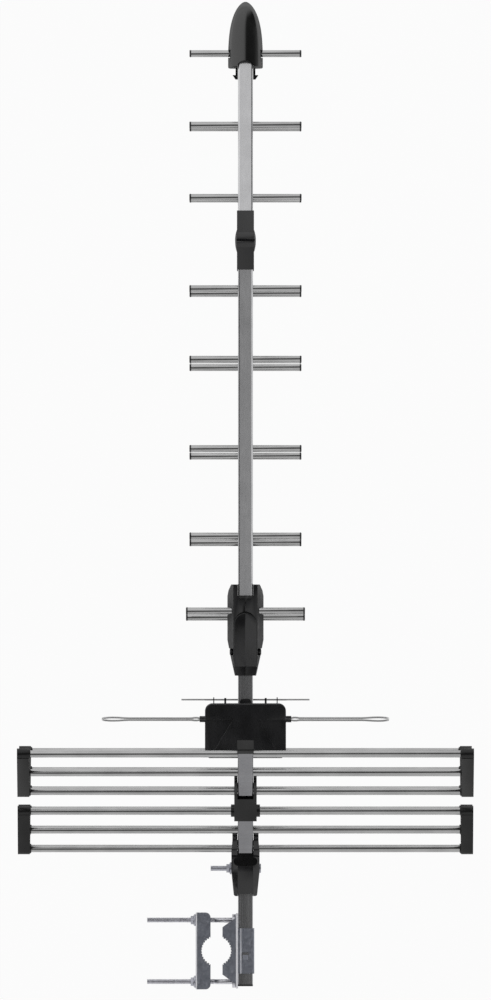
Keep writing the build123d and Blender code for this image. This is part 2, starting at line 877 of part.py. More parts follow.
def dipole_box_lid():
    """The lid with its raised front band and centre, and sloping rear shoulders."""
    low = box_split_z + gasket_height
    lid = plan_extrude(box_outline(), low, box_half_height)
    lid = fillet(lid.faces().sort_by(Axis.Z)[-1].edges(), lid_top_fillet)
    ceiling = box_half_height - box_lid_roof
    lid -= plan_extrude(box_outline(box_wall), low - overcut, ceiling)
    rim = box_outline(box_wall + socket_gap) - box_outline(box_wall + box_lip)
    lid += plan_extrude(rim, box_split_z - box_lip_height, ceiling)
    for side in (1, -1):
        region = make_face(
            Polyline(
                (boom_offset + side * facet_front_half, facet_front_y),
                (boom_offset + side * box_width, facet_front_y),
                (boom_offset + side * box_width, box_rear_y - box_lid_height),
                (boom_offset + side * facet_rear_half, box_rear_y - box_lid_height),
                (boom_offset + side * facet_rear_half, facet_rear_y),
                close=True,
            )
        )
        slab = Pos(0, 0, box_width / 2) * Box(3 * box_width, 3 * box_width, box_width)
        inner_edge = Pos(boom_offset + side * facet_front_half, facet_front_y)
        hinge = inner_edge * Pos(0, 0, box_half_height - shoulder_step)
        slab = hinge * Rot(0, side * shoulder_slope, 0) * slab
        top = Pos(0, 0, box_half_height) * region
        lid -= slab & extrude(top, box_lid_roof, dir=(0, 0, -1), taper=shoulder_wall_lean)
    return lid


def circuit_board():
    """The matching board under the duct."""
    middle = (box_front_y + box_rear_y) / 2
    z = box_wall - box_half_height + board_rise + board_thickness / 2
    return Pos(boom_offset, middle, z) * Box(board_width, board_length, board_thickness)


def dipole_terminals():
    """Two upright strips that join each loop's wire ends to the board."""
    low = box_wall - box_half_height + board_rise + board_thickness
    high = dipole_half_height + 2 * dipole_wire_radius
    strips = []
    for side in (1, -1):
        x = boom_offset + side * (dipole_inner_end - terminal_thickness / 2)
        strips.append(
            Pos(x, dipole_y, (low + high) / 2)
            * Box(terminal_thickness, terminal_width, high - low)
        )
    return strips


def dipole_loop():
    """The right dipole half: a narrow upright wire loop with a slight twist."""
    box_half = box_width / 2
    straight = box_half + boss_length + dipole_root_run
    twist = dipole_half_span - dipole_twist_run
    end = dipole_half_span - dipole_wire_radius
    h = dipole_half_height
    d = dipole_twist
    right_side = [
        (dipole_inner_end, -d, h),
        (box_half + boss_length, -d, h),
        (straight, 0, h),
        (twist, 0, h),
        (end, d, h),
        (end, -d, -h),
        (twist, 0, -h),
        (straight, 0, -h),
        (box_half + boss_length, d, -h),
        (dipole_inner_end, d, -h),
    ]
    points = [(boom_offset + x, dipole_y + y, z) for x, y, z in right_side]
    path = FilletPolyline(*points, radius=dipole_corner_radius)
    return sweep((path ^ 0) * Circle(dipole_wire_radius), path)


def front_element():
    """The thin passive rod in front of the box, under the boom."""
    return cross_cylinder(
        front_element_y, front_element_z, front_element_radius, front_element_length
    )


def coaxial_socket():
    """The threaded socket under the box, with its hexagon and hollow body."""
    top = -box_half_height
    board_back = box_wall - box_half_height + board_rise
    shank_length = board_back - top
    place = Pos(boom_offset + socket_x, socket_y, top)
    body = place * Pos(0, 0, shank_length / 2) * Cylinder(socket_shank_radius, shank_length)
    hexagon = RegularPolygon(socket_hex_across / 2, 6, major_radius=False)
    body += place * Pos(0, 0, -socket_hex_height) * extrude(hexagon, socket_hex_height)
    thread = Pos(0, 0, -socket_hex_height - thread_length / 2) * Cylinder(
        thread_radius, thread_length
    )
    body += place * thread
    depth = socket_hex_height + thread_length + shank_length - socket_back_wall
    bore = Pos(0, 0, shank_length - socket_back_wall - depth / 2) * Cylinder(
        socket_bore_radius, depth
    )
    return body - place * bore


def socket_insulator():
    """The insert in the socket, with the contact's hole in its face."""
    low = -box_half_height - socket_hex_height - thread_length + insulator_recess
    high = box_wall - box_half_height + board_rise - socket_back_wall
    place = Pos(boom_offset + socket_x, socket_y, (low + high) / 2)
    body = place * Cylinder(socket_bore_radius, high - low)
    hole = Pos(boom_offset + socket_x, socket_y, low) * Cylinder(contact_radius, 2 * contact_depth)
    return body - hole


def frame_rods(points):
    """Three reflector rods as one group."""
    length = reflector_width - 2 * (end_bar_width - rod_plug)
    return [cross_tube(y, z, rod_radius, rod_wall, length) for y, z in points]


def end_bars(points):
    """The moulded bars that hold a frame's rod ends, right and left."""
    first, last = points[0], points[-1]
    tilt = degrees(atan2(last[1] - first[1], last[0] - first[0]))
    outline = stadium(*first, *last, end_bar_radius)
    bars = []
    for side in (1, -1):
        middle = side * (reflector_width - end_bar_width) / 2
        bar = Pos(middle, 0, 0) * side_extrude(outline, end_bar_width)
        inner_face = middle - side * end_bar_width / 2
        for y, z in points:
            collar = boom_offset + inner_face
            bar += cross_cylinder(y, z, end_bar_collar_radius, 2 * end_bar_collar, collar)
        for y, z in points:
            hole = rod_radius + hole_gap
            bar -= cross_cylinder(y, z, hole, 2 * rod_plug, boom_offset + inner_face)
        groove = Pos(boom_offset + middle, *last) * Rot(tilt, 0, 0) * Pos(
            0, 0, end_bar_radius
        )
        bar -= groove * Box(end_bar_width, end_bar_groove_width, 2 * end_bar_groove)
        bars.append(bar)
    return bars


def beyond_the_pin(point):
    """The room in front of and above an arm's cut end, which is square to the ground."""
    margin = rod_radius + arm_end_margin
    size = 2 * reflector_width
    corner = Pos(boom_offset, point[0] - margin, point[1] - margin)
    return corner * Pos(0, size / 2, size / 2) * Box(size, size, size)


def inner_arm():
    """The tube of the inner frame, hinged at its tail."""
    end = 2 * inner_rod_step + arm_seat
    tube = tilted_tube(
        *hinge_point, inner_tilt, -arm_tail, end, arm_width, arm_height, arm_wall
    )
    tube &= beyond_the_pin(hinge_point)
    for y, z in inner_rod_points:
        tube -= cross_cylinder(y, z, rod_radius + hole_gap, 2 * arm_width)
    return tube


def outer_arm():
    """The tube of the outer frame, hinged at the knee."""
    end = 2 * outer_rod_step + tip_cap_front - tip_cap_floor
    tube = tilted_tube(
        *knee_point, outer_tilt, -knee_tail, end, arm_width, arm_height, arm_wall
    )
    tube &= beyond_the_pin(knee_point)
    for y, z in outer_rod_points:
        tube -= cross_cylinder(y, z, rod_radius + hole_gap, 2 * arm_width)
    return tube


def tip_cap():
    """The cap over the outer arm's end."""
    width = arm_width + 2 * tip_cap_wall
    height = arm_height + 2 * tip_cap_wall
    start = 2 * outer_rod_step + tip_cap_rear
    end = 2 * outer_rod_step + tip_cap_front
    place = (*knee_point, outer_tilt)
    cap = tilted_bar(*place, start, end, width, height)
    cap = fillet(cap.edges().filter_by(Axis.X).sort_by(Axis.Z)[-2:], tip_cap_fillet)
    gap = 2 * hole_gap
    cap -= tilted_bar(
        *place, start - overcut, end - tip_cap_floor, arm_width + gap, arm_height + gap
    )
    return cap


def fold_block():
    """The knee: a socket on the inner arm and a fork that carries the outer arm."""
    rod_y, rod_z = inner_rod_points[-1]
    knee_y, knee_z = knee_point
    width = 2 * (fork_half + fork_wall)
    body = side_extrude(stadium(rod_y, rod_z, knee_y, knee_z, block_half_height), width)
    cheek_y, cheek_z = moved_along(knee_point, outer_tilt, fork_reach)
    body += side_extrude(stadium(knee_y, knee_z, cheek_y, cheek_z, fork_half_height), width)
    place = (rod_y, rod_z, inner_tilt)
    body += tilted_bar(*place, -block_tail, arm_seat, width, 2 * block_half_height)
    boss = 2 * block_boss_reach + width
    body += cross_cylinder(rod_y, rod_z, block_boss_radius, boss)
    margin = rod_radius + arm_end_margin
    slot = Pos(knee_y, knee_z) * Circle(hypot(margin, margin) + swing_gap)
    for step in range(knee_travel_steps + 1):
        fold = outer_tilt + knee_travel * step / knee_travel_steps
        arm = Pos(knee_y, knee_z) * Rot(0, 0, fold) * Pos(link_length, 0)
        slot += arm * Rectangle(2 * link_length, arm_height + 2 * swing_gap)
    body -= side_extrude(slot, 2 * fork_half)
    gap = 2 * hole_gap
    tail = -block_tail - overcut
    body -= tilted_bar(*place, tail, arm_seat, arm_width + gap, arm_height + gap)
    body -= cross_cylinder(rod_y, rod_z, rod_radius + hole_gap, 2 * boss)
    return body - cross_cylinder(knee_y, knee_z, rod_radius + running_gap, 2 * boss)


def bracket_bevel_cut():
    """What the bevel takes off one upper side of the bracket, from the rear to its ears."""
    stops = [
        (bracket_rear_y - overcut, bracket_tail_half_width, bracket_tail_top),
        (bracket_shoulder_y, bracket_half_width, bracket_top),
        (bracket_pocket_front_y, bracket_half_width, bracket_top),
    ]
    sections = []
    for y, half, top in stops:
        corners = [
            (bracket_ridge_half_width, top),
            (half + overcut, top - bracket_bevel_drop),
            (half + overcut, 2 * bracket_top),
            (bracket_ridge_half_width, 2 * bracket_top),
        ]
        plane = Plane(origin=(boom_offset, y, 0), x_dir=(-1, 0, 0), z_dir=(0, 1, 0))
        sections.append(plane * make_face(Polyline(*corners, close=True)))
    return loft(sections, ruled=True)


def reflector_bracket():
    """The moulding on the boom that carries both panels' hinges."""
    plan = boom_plan(
        [
            (bracket_rear_y, bracket_tail_half_width),
            (bracket_shoulder_y, bracket_half_width),
            (hinge_y - bracket_ear_radius / 2, bracket_half_width),
            (bracket_front_y, bracket_ear_half_width),
            (bracket_front_y + bracket_front_y - hinge_y, bracket_ear_half_width),
        ]
    )
    plan = fillet(plan.vertices().sort_by(Axis.Y)[:2], bracket_foot_corner)
    profile = side_profile(
        [
            (bracket_rear_y, bracket_tail_top),
            (bracket_shoulder_y, bracket_top),
            (hinge_y - bracket_ear_radius, hinge_z + bracket_ear_radius / 2),
            (bracket_front_y, hinge_z - bracket_ear_radius),
        ]
    )
    cheek_y, cheek_z = moved_along(hinge_point, inner_tilt, bracket_cheek_reach)
    ear = stadium(hinge_y, hinge_z, cheek_y, cheek_z, bracket_cheek_radius)
    ear += Pos(hinge_y, hinge_z) * Circle(bracket_ear_radius)
    profile += ear
    profile += mirror(ear, about=Plane.XZ)
    width = 4 * bracket_half_width
    body = plan_extrude(plan, -width, width) & side_extrude(profile, width)
    recess_length = 2 * (bracket_front_y - bracket_recess_y)
    recess = Pos(boom_offset, bracket_recess_y + recess_length / 2) * RectangleRounded(
        2 * fork_half, recess_length, bracket_recess_corner
    )
    pocket_length = bracket_pocket_front_y - bracket_recess_y
    recess += Pos(boom_offset, bracket_recess_y + pocket_length / 2) * RectangleRounded(
        2 * bracket_pocket_half_width, pocket_length, bracket_pocket_corner
    )
    floor = channel_half + bracket_floor
    cut = plan_extrude(recess, floor, width)
    notch = 2 * bracket_notch
    cut += Pos(boom_offset, bracket_rear_y, width / 2) * Box(2 * channel_half, notch, width)
    bevel = bracket_bevel_cut()
    cut += bevel + mirror(bevel, about=Plane(origin=(boom_offset, 0, 0), z_dir=(1, 0, 0)))
    body -= cut + below(cut)
    channel = 2 * channel_half
    body -= tilted_bar(0, 0, 0, 0, 2 * bracket_front_y, channel, channel)
    pin = cross_cylinder(hinge_y, hinge_z, rod_radius + running_gap, width)
    body -= pin + below(pin)
    body -= cross_cylinder(cross_bolt_y, 0, cross_bolt_radius + bolt_hole_gap, width)
    head_x = boom_offset + bolt_head_seat_x + bracket_half_width
    head = cross_bolt_head_radius + bolt_hole_gap
    return body - cross_cylinder(cross_bolt_y, 0, head, 2 * bracket_half_width, head_x)


def bracket_bolt():
    """The cross bolt through bracket and boom."""
    end = bolt_head_seat_x - cross_bolt_length
    middle = boom_offset + (bolt_head_seat_x + end) / 2
    shank = cross_cylinder(cross_bolt_y, 0, cross_bolt_radius, cross_bolt_length, middle)
    head_x = boom_offset + bolt_head_seat_x + cross_bolt_head / 2
    head = cross_cylinder(cross_bolt_y, 0, cross_bolt_head_radius, cross_bolt_head, head_x)
    return shank + head


def flange_nut(bore):
    """A hexagon nut on a flange, rising along +Z from its seat."""
    hexagon = extrude(RegularPolygon(nut_across / 2, 6, major_radius=False), nut_height)
    flange = Pos(0, 0, nut_flange_height / 2) * Cylinder(nut_flange_radius, nut_flange_height)
    cone_height = nut_cone_height - nut_flange_height
    cone = Pos(0, 0, nut_flange_height + cone_height / 2) * Cone(
        nut_flange_radius, nut_across / 2, cone_height
    )
    return hexagon + flange + cone - Cylinder(bore, 4 * nut_height)


def bracket_nut():
    """The nut on the bracket's cross bolt."""
    place = Pos(boom_offset - bracket_half_width, cross_bolt_y, 0) * Rot(0, -90, 0)
    return place * flange_nut(cross_bolt_radius)


def clamp_bite(reach):
    """The mast's circle with its ring of tooth notches, cut through a jaw."""
    notch = Polyline(
        (mast_radius - overcut, -tooth_half_width),
        (mast_radius + tooth_depth, 0),
        (mast_radius - overcut, tooth_half_width),
        close=True,
    )
    shape = Circle(mast_radius) + PolarLocations(0, tooth_count) * make_face(notch)
    return extrude(shape, reach, both=True)


def stud_holes(x):
    """Clearance holes for the two studs in a plate at x."""
    radius = stud_radius + bolt_hole_gap
    return [cross_cylinder(y, 0, radius, 4 * clamp_sheet, x) for y in (stud_spread, -stud_spread)]


def outer_jaw():
    """The loose jaw: a shallow pressed tray, open towards the mast, with toothed flanges."""
    depth = outer_jaw_back - outer_jaw_front
    middle = -(outer_jaw_back + outer_jaw_front) / 2

    def tray(inset):
        shape = Pos(middle, 0) * Rectangle(depth - 2 * inset, 2 * (clamp_half_length - inset))
        return fillet(shape.vertices().sort_by(Axis.X)[-2:], outer_jaw_corner - inset)

    jaw = extrude(tray(0), clamp_half_height, both=True)
    inner_height = clamp_half_height - clamp_sheet
    jaw -= extrude(tray(clamp_sheet), inner_height, both=True)
    mouth = 2 * (clamp_half_length - outer_jaw_corner)
    jaw -= Pos(0, 0, 0) * Box(2 * (outer_jaw_front + 2 * clamp_sheet), mouth, 2 * inner_height)
    return jaw - clamp_bite(2 * clamp_half_height) - stud_holes(-outer_jaw_back)


def clamp_plate(x, thickness, half_length):
    """A flat plate across the studs, centred on x."""
    plate = Pos(x, 0, 0) * Box(thickness, 2 * half_length, 2 * clamp_half_height)
    return fillet(plate.edges().filter_by(Axis.X), clamp_sheet) - stud_holes(x)


def inner_jaw():
    """The fixed jaw: toothed flanges on a web between the studs."""
    back = inner_jaw_back
    flange = make_face(
        Polyline(
            (back, inner_jaw_half_length),
            (inner_jaw_tip, inner_jaw_shoulder),
            (inner_jaw_tip, -inner_jaw_shoulder),
            (back, -inner_jaw_half_length),
            close=True,
        )
    )
    jaw = extrude(flange, clamp_half_height, both=True)
    inner_height = clamp_half_height - clamp_sheet
    web_front = back - clamp_sheet
    jaw -= Box(2 * web_front, 4 * clamp_half_length, 2 * inner_height)
    web_end = stud_spread - stud_collar_radius - 2 * bolt_hole_gap
    for side in (1, -1):
        gap_y = side * (web_end + clamp_half_length)
        jaw -= Pos(back, gap_y, 0) * Box(
            4 * clamp_sheet, 2 * clamp_half_length, 2 * inner_height
        )
    return jaw - clamp_bite(2 * clamp_half_height)


def clamp_studs():
    """The two studs, riveted into the inner plate behind their collars."""
    studs = []
    for y in (stud_spread, -stud_spread):
        length = stud_end + inner_plate_x
        shank = cross_cylinder(y, 0, stud_radius, length, inner_plate_x - length / 2)
        collar_x = inner_jaw_back - stud_collar_length / 2
        collar = cross_cylinder(y, 0, stud_collar_radius, stud_collar_length, collar_x)
        studs.append(shank + collar)
    return studs


def clamp_nuts():
    """The nuts that press the outer plate and jaw onto the mast."""
    x = -outer_jaw_back - outer_plate_thickness
    nut = flange_nut(stud_radius + hole_gap)
    return [Pos(x, y, 0) * Rot(0, -90, 0) * nut for y in (stud_spread, -stud_spread)]


def boom_saddle():
    """The strap round the boom, welded to the inner plate, with its locking tongue."""
    inner = boom_half + saddle_gap
    outer = inner + saddle_sheet
    reach = boom_half + outer
    strap = Pos(boom_offset - boom_half + reach / 2, 0) * Rectangle(reach, 2 * outer)
    strap = fillet(strap.vertices().sort_by(Axis.X)[-2:], saddle_corner)
    hollow_reach = boom_half + inner
    strap -= Pos(boom_offset - boom_half + hollow_reach / 2, 0) * Rectangle(
        hollow_reach, 2 * inner
    )
    body = extrude(Plane.XZ * strap, saddle_half_length, both=True)
    bead_x = boom_offset - boom_half + saddle_bead_offset
    bead_start = saddle_tongue_y + saddle_tongue_length / 2
    bead_rear = saddle_tongue_y - saddle_tongue_length
    for start, end in ((bead_start, saddle_half_length), (-saddle_half_length, bead_rear)):
        bead = Pos(bead_x, (start + end) / 2, outer) * Rot(90, 0, 0)
        body += bead * Cylinder(saddle_bead_radius, end - start)
    window = Pos(boom_offset, saddle_tongue_y, outer) * Box(
        saddle_tongue_width + 2 * saddle_tongue_gap, saddle_tongue_length, 4 * saddle_sheet
    )
    body -= window
    tongue_front = saddle_tongue_y + saddle_tongue_length / 2 - 2 * saddle_tongue_gap
    tongue_rear = saddle_tongue_y - saddle_tongue_length / 2
    tongue = make_face(
        Polyline(
            (tongue_rear, inner),
            (tongue_rear, outer),
            (tongue_front, outer - saddle_tongue_drop),
            (tongue_front, inner - saddle_tongue_drop),
            close=True,
        )
    )
    return body + side_extrude(tongue, saddle_tongue_width)


def on_both_boom_sides(name, pieces):
    """Saves an upper piece and its mirror image under the boom."""
    save(f"upper_{name}", pieces)
    save(f"lower_{name}", below(pieces))


os.makedirs("parts", exist_ok=True)

# Booms and what joins them
save("main_boom", main_boom())
save("boom_end_cap", boom_end_cap())
save("middle_boom", middle_boom())
on_both_boom_sides("rear_boom", outer_rear_boom())
on_both_boom_sides("front_boom", outer_front_boom())
on_both_boom_sides("elbow", elbow())
save("nose_shell", nose_shell())
save("nose_carrier", nose_carrier())
save("connector_right_half", connector_half(1))
save("connector_left_half", connector_half(-1))
save("connector_screw", connector_screw())
on_both_boom_sides("connector_pod", pod())

# Directors and their end plugs
front_places = outer_places(outer_front_stations)
rear_places = outer_places((outer_root_station, *outer_rear_stations))
straight_places = middle_places((middle_root_station, *middle_stations))
nose_place = middle_places((nose_station,))
on_both_boom_sides("front_directors", Compound(director_tubes(front_places, director_length)))
on_both_boom_sides("rear_directors", Compound(director_tubes(rear_places, director_length)))
save("middle_directors", Compound(director_tubes(straight_places, director_length)))
save("nose_director", Compound(director_tubes(nose_place, nose_director_length)))
outer_caps = director_caps(front_places + rear_places, director_length)
save("outer_director_caps", Compound(outer_caps + [below(cap) for cap in outer_caps]))
middle_caps = director_caps(straight_places, director_length)
middle_caps += director_caps(nose_place, nose_director_length)
save("middle_director_caps", Compound(middle_caps))

# Dipole box and what it holds
save("dipole_box_body", dipole_box_body())
save("box_gasket", box_gasket())
save("dipole_box_lid", dipole_box_lid())
save("circuit_board", circuit_board())
save("dipole_terminals", Compound(dipole_terminals()))
save("dipole_right", dipole_loop())
save("dipole_left", Pos(2 * boom_offset, 2 * dipole_y, 0) * Rot(0, 0, 180) * dipole_loop())
save("front_element", front_element())
save("coaxial_socket", coaxial_socket())
save("socket_insulator", socket_insulator())

# Reflector
on_both_boom_sides("inner_arm", inner_arm())
on_both_boom_sides("outer_arm", outer_arm())
on_both_boom_sides("fold_block", fold_block())
on_both_boom_sides("tip_cap", tip_cap())
on_both_boom_sides("inner_rods", Compound(frame_rods(inner_rod_points)))
on_both_boom_sides("outer_rods", Compound(frame_rods(outer_rod_points)))
on_both_boom_sides("inner_end_bars", Compound(end_bars(inner_rod_points)))
on_both_boom_sides("outer_end_bars", Compound(end_bars(outer_rod_points)))
save("reflector_bracket", reflector_bracket())
save("bracket_bolt", bracket_bolt())
save("bracket_nut", bracket_nut())

# Mast clamp
save("outer_jaw", outer_jaw())
outer_plate_x = -outer_jaw_back - outer_plate_thickness / 2
save("outer_plate", clamp_plate(outer_plate_x, outer_plate_thickness, clamp_half_length))
save("inner_jaw", inner_jaw())
inner_plate_middle = inner_plate_x - inner_plate_thickness / 2
save(
    "inner_plate",
    clamp_plate(inner_plate_middle, inner_plate_thickness, inner_plate_half_length),
)
save("clamp_studs", Compound(clamp_studs()))
save("clamp_nuts", Compound(clamp_nuts()))
save("boom_saddle", boom_saddle())
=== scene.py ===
import json
import math

import bmesh
import bpy
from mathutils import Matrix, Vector


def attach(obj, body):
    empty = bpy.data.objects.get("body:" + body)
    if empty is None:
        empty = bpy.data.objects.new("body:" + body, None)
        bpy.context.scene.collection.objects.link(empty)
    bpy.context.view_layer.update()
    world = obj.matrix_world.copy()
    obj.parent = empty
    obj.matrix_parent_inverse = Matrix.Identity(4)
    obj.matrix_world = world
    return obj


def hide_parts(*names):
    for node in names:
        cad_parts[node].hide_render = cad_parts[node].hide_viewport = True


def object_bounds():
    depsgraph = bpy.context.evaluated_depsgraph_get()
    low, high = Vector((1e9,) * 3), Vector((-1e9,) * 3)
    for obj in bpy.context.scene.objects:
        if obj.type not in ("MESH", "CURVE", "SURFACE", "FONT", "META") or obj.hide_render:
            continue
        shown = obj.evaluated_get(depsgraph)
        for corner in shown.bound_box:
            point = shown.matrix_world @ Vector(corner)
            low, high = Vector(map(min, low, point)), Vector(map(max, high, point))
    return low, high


MM = 0.001

# The photo's scale, its size and the pixel that the mast's axis falls on.
PIXEL = 1.2 * MM
IMAGE_WIDTH, IMAGE_HEIGHT = 491, 1000
AXIS_COLUMN, MAST_ROW = 216.3, 951.5

# Heights over the booms' plane: the camera's, and the one where the photo's scale is true.
CAMERA_HEIGHT = 28.0
SCALE_PLANE = 0.04
SENSOR = 36.0

FLOOR_DROP, FLOOR_HALF = 0.30, 60.0
FLOOR_GREY, FLOOR_GLOW = 0.8, 0.94

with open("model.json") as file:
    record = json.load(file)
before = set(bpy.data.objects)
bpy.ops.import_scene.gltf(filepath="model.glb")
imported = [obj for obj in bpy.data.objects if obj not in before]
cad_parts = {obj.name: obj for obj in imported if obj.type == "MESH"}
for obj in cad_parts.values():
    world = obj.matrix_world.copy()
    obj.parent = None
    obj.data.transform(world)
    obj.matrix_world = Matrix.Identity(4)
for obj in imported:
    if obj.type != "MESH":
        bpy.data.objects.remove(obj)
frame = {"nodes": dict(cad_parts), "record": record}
cad_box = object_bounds()
nodes = frame["nodes"]
node_slots = {s["node"]: s["material_slot"] for s in frame["record"]["subparts"]}


def body_of(node):
    """The body that a node belongs to."""
    for body, members in frame["record"]["behaviour"]["bodies"].items():
        if node in members:
            return body


# Shader nodes

def add_node(tree, kind, **values):
    """A shader node of one kind with its own settings."""
    made = tree.nodes.new("ShaderNode" + kind)
    for key, value in values.items():
        setattr(made, key, value)
    return made


def add_math(tree, operation, *values):
    """The result of an operation on sockets and numbers."""
    made = add_node(tree, "Math", operation=operation)
    for socket, value in zip(made.inputs, values):
        if isinstance(value, float):
            socket.default_value = value
        else:
            tree.links.new(value, socket)
    return made.outputs[0]


def fill_ramp(ramp, stops):
    """Gives a colour ramp its stops of (place, colour)."""
    elements = ramp.color_ramp.elements
    while len(elements) < len(stops):
        elements.new(0.5)
    for element, (place, color) in zip(elements, stops):
        element.position = place
        element.color = (*color, 1.0)


class Shader:
    """A principled material and short calls for the nodes that feed it."""

    def __init__(self, name, color, rough, metal=0.0, specular=0.5):
        self.material = bpy.data.materials.new(name)
        self.material.use_nodes = True
        self.tree = self.material.node_tree
        self.base = self.tree.nodes["Principled BSDF"]
        self.base.inputs["Base Color"].default_value = (*color, 1.0)
        self.base.inputs["Roughness"].default_value = rough
        self.base.inputs["Metallic"].default_value = metal
        self.base.inputs["Specular IOR Level"].default_value = specular
        coordinates = self.node("TexCoord").outputs
        self.place, self.normal = coordinates["Object"], coordinates["Normal"]

    def node(self, kind, **values):
        return add_node(self.tree, kind, **values)

    def apply(self, operation, *values):
        return add_math(self.tree, operation, *values)

    def link(self, source, target):
        self.tree.links.new(source, target)

    def stretched(self, scale):
        """Object coordinates times one scale, or a scale for each of X, Y and Z."""
        mapping = self.node("Mapping")
        mapping.inputs["Scale"].default_value = scale if isinstance(scale, tuple) else (scale,) * 3
        self.link(self.place, mapping.inputs["Vector"])
        return mapping.outputs["Vector"]

    def along(self, vector, axis):
        """A vector's share along X, Y or Z."""
        parts = self.node("SeparateXYZ")
        self.link(vector, parts.inputs["Vector"])
        return parts.outputs[axis]

    def noise(self, scale, detail=3.0, rough=0.55):
        """Noise with about this many cells to a metre."""
        made = self.node("TexNoise")
        made.inputs["Scale"].default_value = 1.0
        made.inputs["Detail"].default_value = detail
        made.inputs["Roughness"].default_value = rough
        self.link(self.stretched(scale), made.inputs["Vector"])
        return made.outputs["Fac"]

    def spread(self, source, low, high, start=0.3, end=0.7):
        """The source from start to end, mapped to low to high."""
        made = self.node("MapRange")
        made.inputs["From Min"].default_value = start
        made.inputs["From Max"].default_value = end
        made.inputs["To Min"].default_value = low
        made.inputs["To Max"].default_value = high
        self.link(source, made.inputs["Value"])
        return made.outputs["Result"]

    def colors(self, source, stops):
        """The colour that a ramp has where the source says."""
        ramp = self.node("ValToRGB")
        fill_ramp(ramp, stops)
        self.link(source, ramp.inputs["Fac"])
        return ramp.outputs["Color"]

    def mixed(self, share, first, second):
        """A blend of two colours, each given as a socket or as a tuple."""
        made = self.node("Mix", data_type="RGBA")
        factor, color_a, color_b = made.inputs["Factor"], made.inputs[6], made.inputs[7]
        self.link(share, factor)
        for socket, value in ((color_a, first), (color_b, second)):
            if isinstance(value, tuple):
                socket.default_value = (*value, 1.0)
            else:
                self.link(value, socket)
        return made.outputs[2]

    def paint(self, color):
        self.link(color, self.base.inputs["Base Color"])

    def roughness(self, value):
        self.link(value, self.base.inputs["Roughness"])

    def bump(self, *layers):
        """Layers of (height source, depth in metres, strength), the first one lowest."""
        normal = None
        for source, depth, strength in layers:
            made = self.node("Bump")
            made.inputs["Distance"].default_value = depth
            made.inputs["Strength"].default_value = strength
            self.link(source, made.inputs["Height"])
            if normal:
                self.link(normal, made.inputs["Normal"])
            normal = made.outputs["Normal"]
        self.link(normal, self.base.inputs["Normal"])


# Materials

def drawn_aluminium(name, low, high, rough, along):
    """Extruded aluminium with draw lines along one axis, faint clouding and small scuffs."""
    shader = Shader(name, high, rough, metal=1.0)
    lines = shader.noise(tuple(6.0 if i == along else 1500.0 for i in range(3)), detail=4.0)
    bands = shader.noise(tuple(3.0 if i == along else 260.0 for i in range(3)), detail=2.0)
    clouds = shader.noise(26.0)
    scuffs = shader.noise(900.0, detail=2.0)
    scuffed = tuple(0.6 * c for c in low)
    tone = shader.mixed(shader.spread(clouds, 0.0, 1.0), low, high)
    tone = shader.mixed(shader.spread(bands, 0.0, 0.5), tone, low)
    tone = shader.mixed(shader.spread(scuffs, 0.0, 0.35, 0.62, 0.75), tone, scuffed)
    shader.paint(tone)
    shader.roughness(shader.spread(lines, rough - 0.05, rough + 0.09))
    shader.bump((bands, 0.00008, 0.35), (lines, 0.00003, 0.5))
    return shader.material


def moulded_plastic(name, color, rough, gloss=1.5):
    """Black moulded plastic: flow clouding, paler worn specks, and matt steep sides.

    The gloss is the index of refraction.
    """
    shader = Shader(name, color, rough)
    shader.base.inputs["IOR"].default_value = gloss
    grain = shader.noise(2600.0, detail=2.0)
    flow = shader.noise((60.0, 34.0, 60.0), detail=4.0)
    wear = shader.noise(240.0, detail=6.0, rough=0.7)
    dark = tuple(0.72 * c for c in color)
    pale = tuple(1.3 * c + 0.002 for c in color)
    worn = tuple(2.0 * c + 0.008 for c in color)
    tone = shader.mixed(shader.spread(flow, 0.0, 1.0), dark, pale)
    tone = shader.mixed(shader.spread(wear, 0.0, 0.6, 0.66, 0.82), tone, worn)
    shader.paint(tone)
    level = shader.apply("ABSOLUTE", shader.along(shader.normal, "Z"))
    matt = shader.spread(level, 0.42, 0.0, 0.3, 0.62)
    clouded = shader.spread(flow, rough - 0.05, rough + 0.06)
    shader.roughness(shader.apply("ADD", matt, clouded))
    shader.bump((flow, 0.0002, 0.042), (grain, 0.00006, 0.1225))
    return shader.material


def galvanised_steel(name, painted_highlight=None):
    """Hot-dip zinc: crystal spangle of bluish greys, duller patches and a rough skin.

    A function that gives a share of the surface can have a painted highlight there, in near white.
    """
    shader = Shader(name, (0.30, 0.31, 0.36), 0.42, metal=0.6)
    cells = shader.node("TexVoronoi")
    cells.inputs["Scale"].default_value = 1.0
    cells.inputs["Randomness"].default_value = 1.0
    shader.link(shader.stretched(420.0), cells.inputs["Vector"])
    spangle = shader.node("SeparateColor")
    shader.link(cells.outputs["Color"], spangle.inputs["Color"])
    patches = shader.noise(70.0, detail=5.0, rough=0.65)
    skin = shader.noise(1400.0)
    tone = shader.colors(spangle.outputs["Red"],
                         [(0.0, (0.235, 0.25, 0.29)), (0.5, (0.26, 0.275, 0.32)),
                          (0.85, (0.29, 0.305, 0.35)), (1.0, (0.33, 0.345, 0.39))])
    tone = shader.mixed(shader.spread(patches, 0.0, 0.6), tone, (0.23, 0.24, 0.28))
    if painted_highlight:
        # Painted highlight: near white mixed in where the given share says.
        tone = shader.mixed(painted_highlight(shader), tone, (0.86, 0.87, 0.93))
    shader.paint(tone)
    shader.roughness(shader.spread(spangle.outputs["Green"], 0.30, 0.55, 0.0, 1.0))
    shader.bump((patches, 0.0003, 0.2), (skin, 0.00006, 0.5))
    return shader.material


# Where the saddle's bend runs, and the distances from it at which its painted highlight is full and
# at which it has faded out.
SADDLE_BEAD_X = 29.4 * MM
HIGHLIGHT_FULL, HIGHLIGHT_FADED = 0.6 * MM, 1.1 * MM


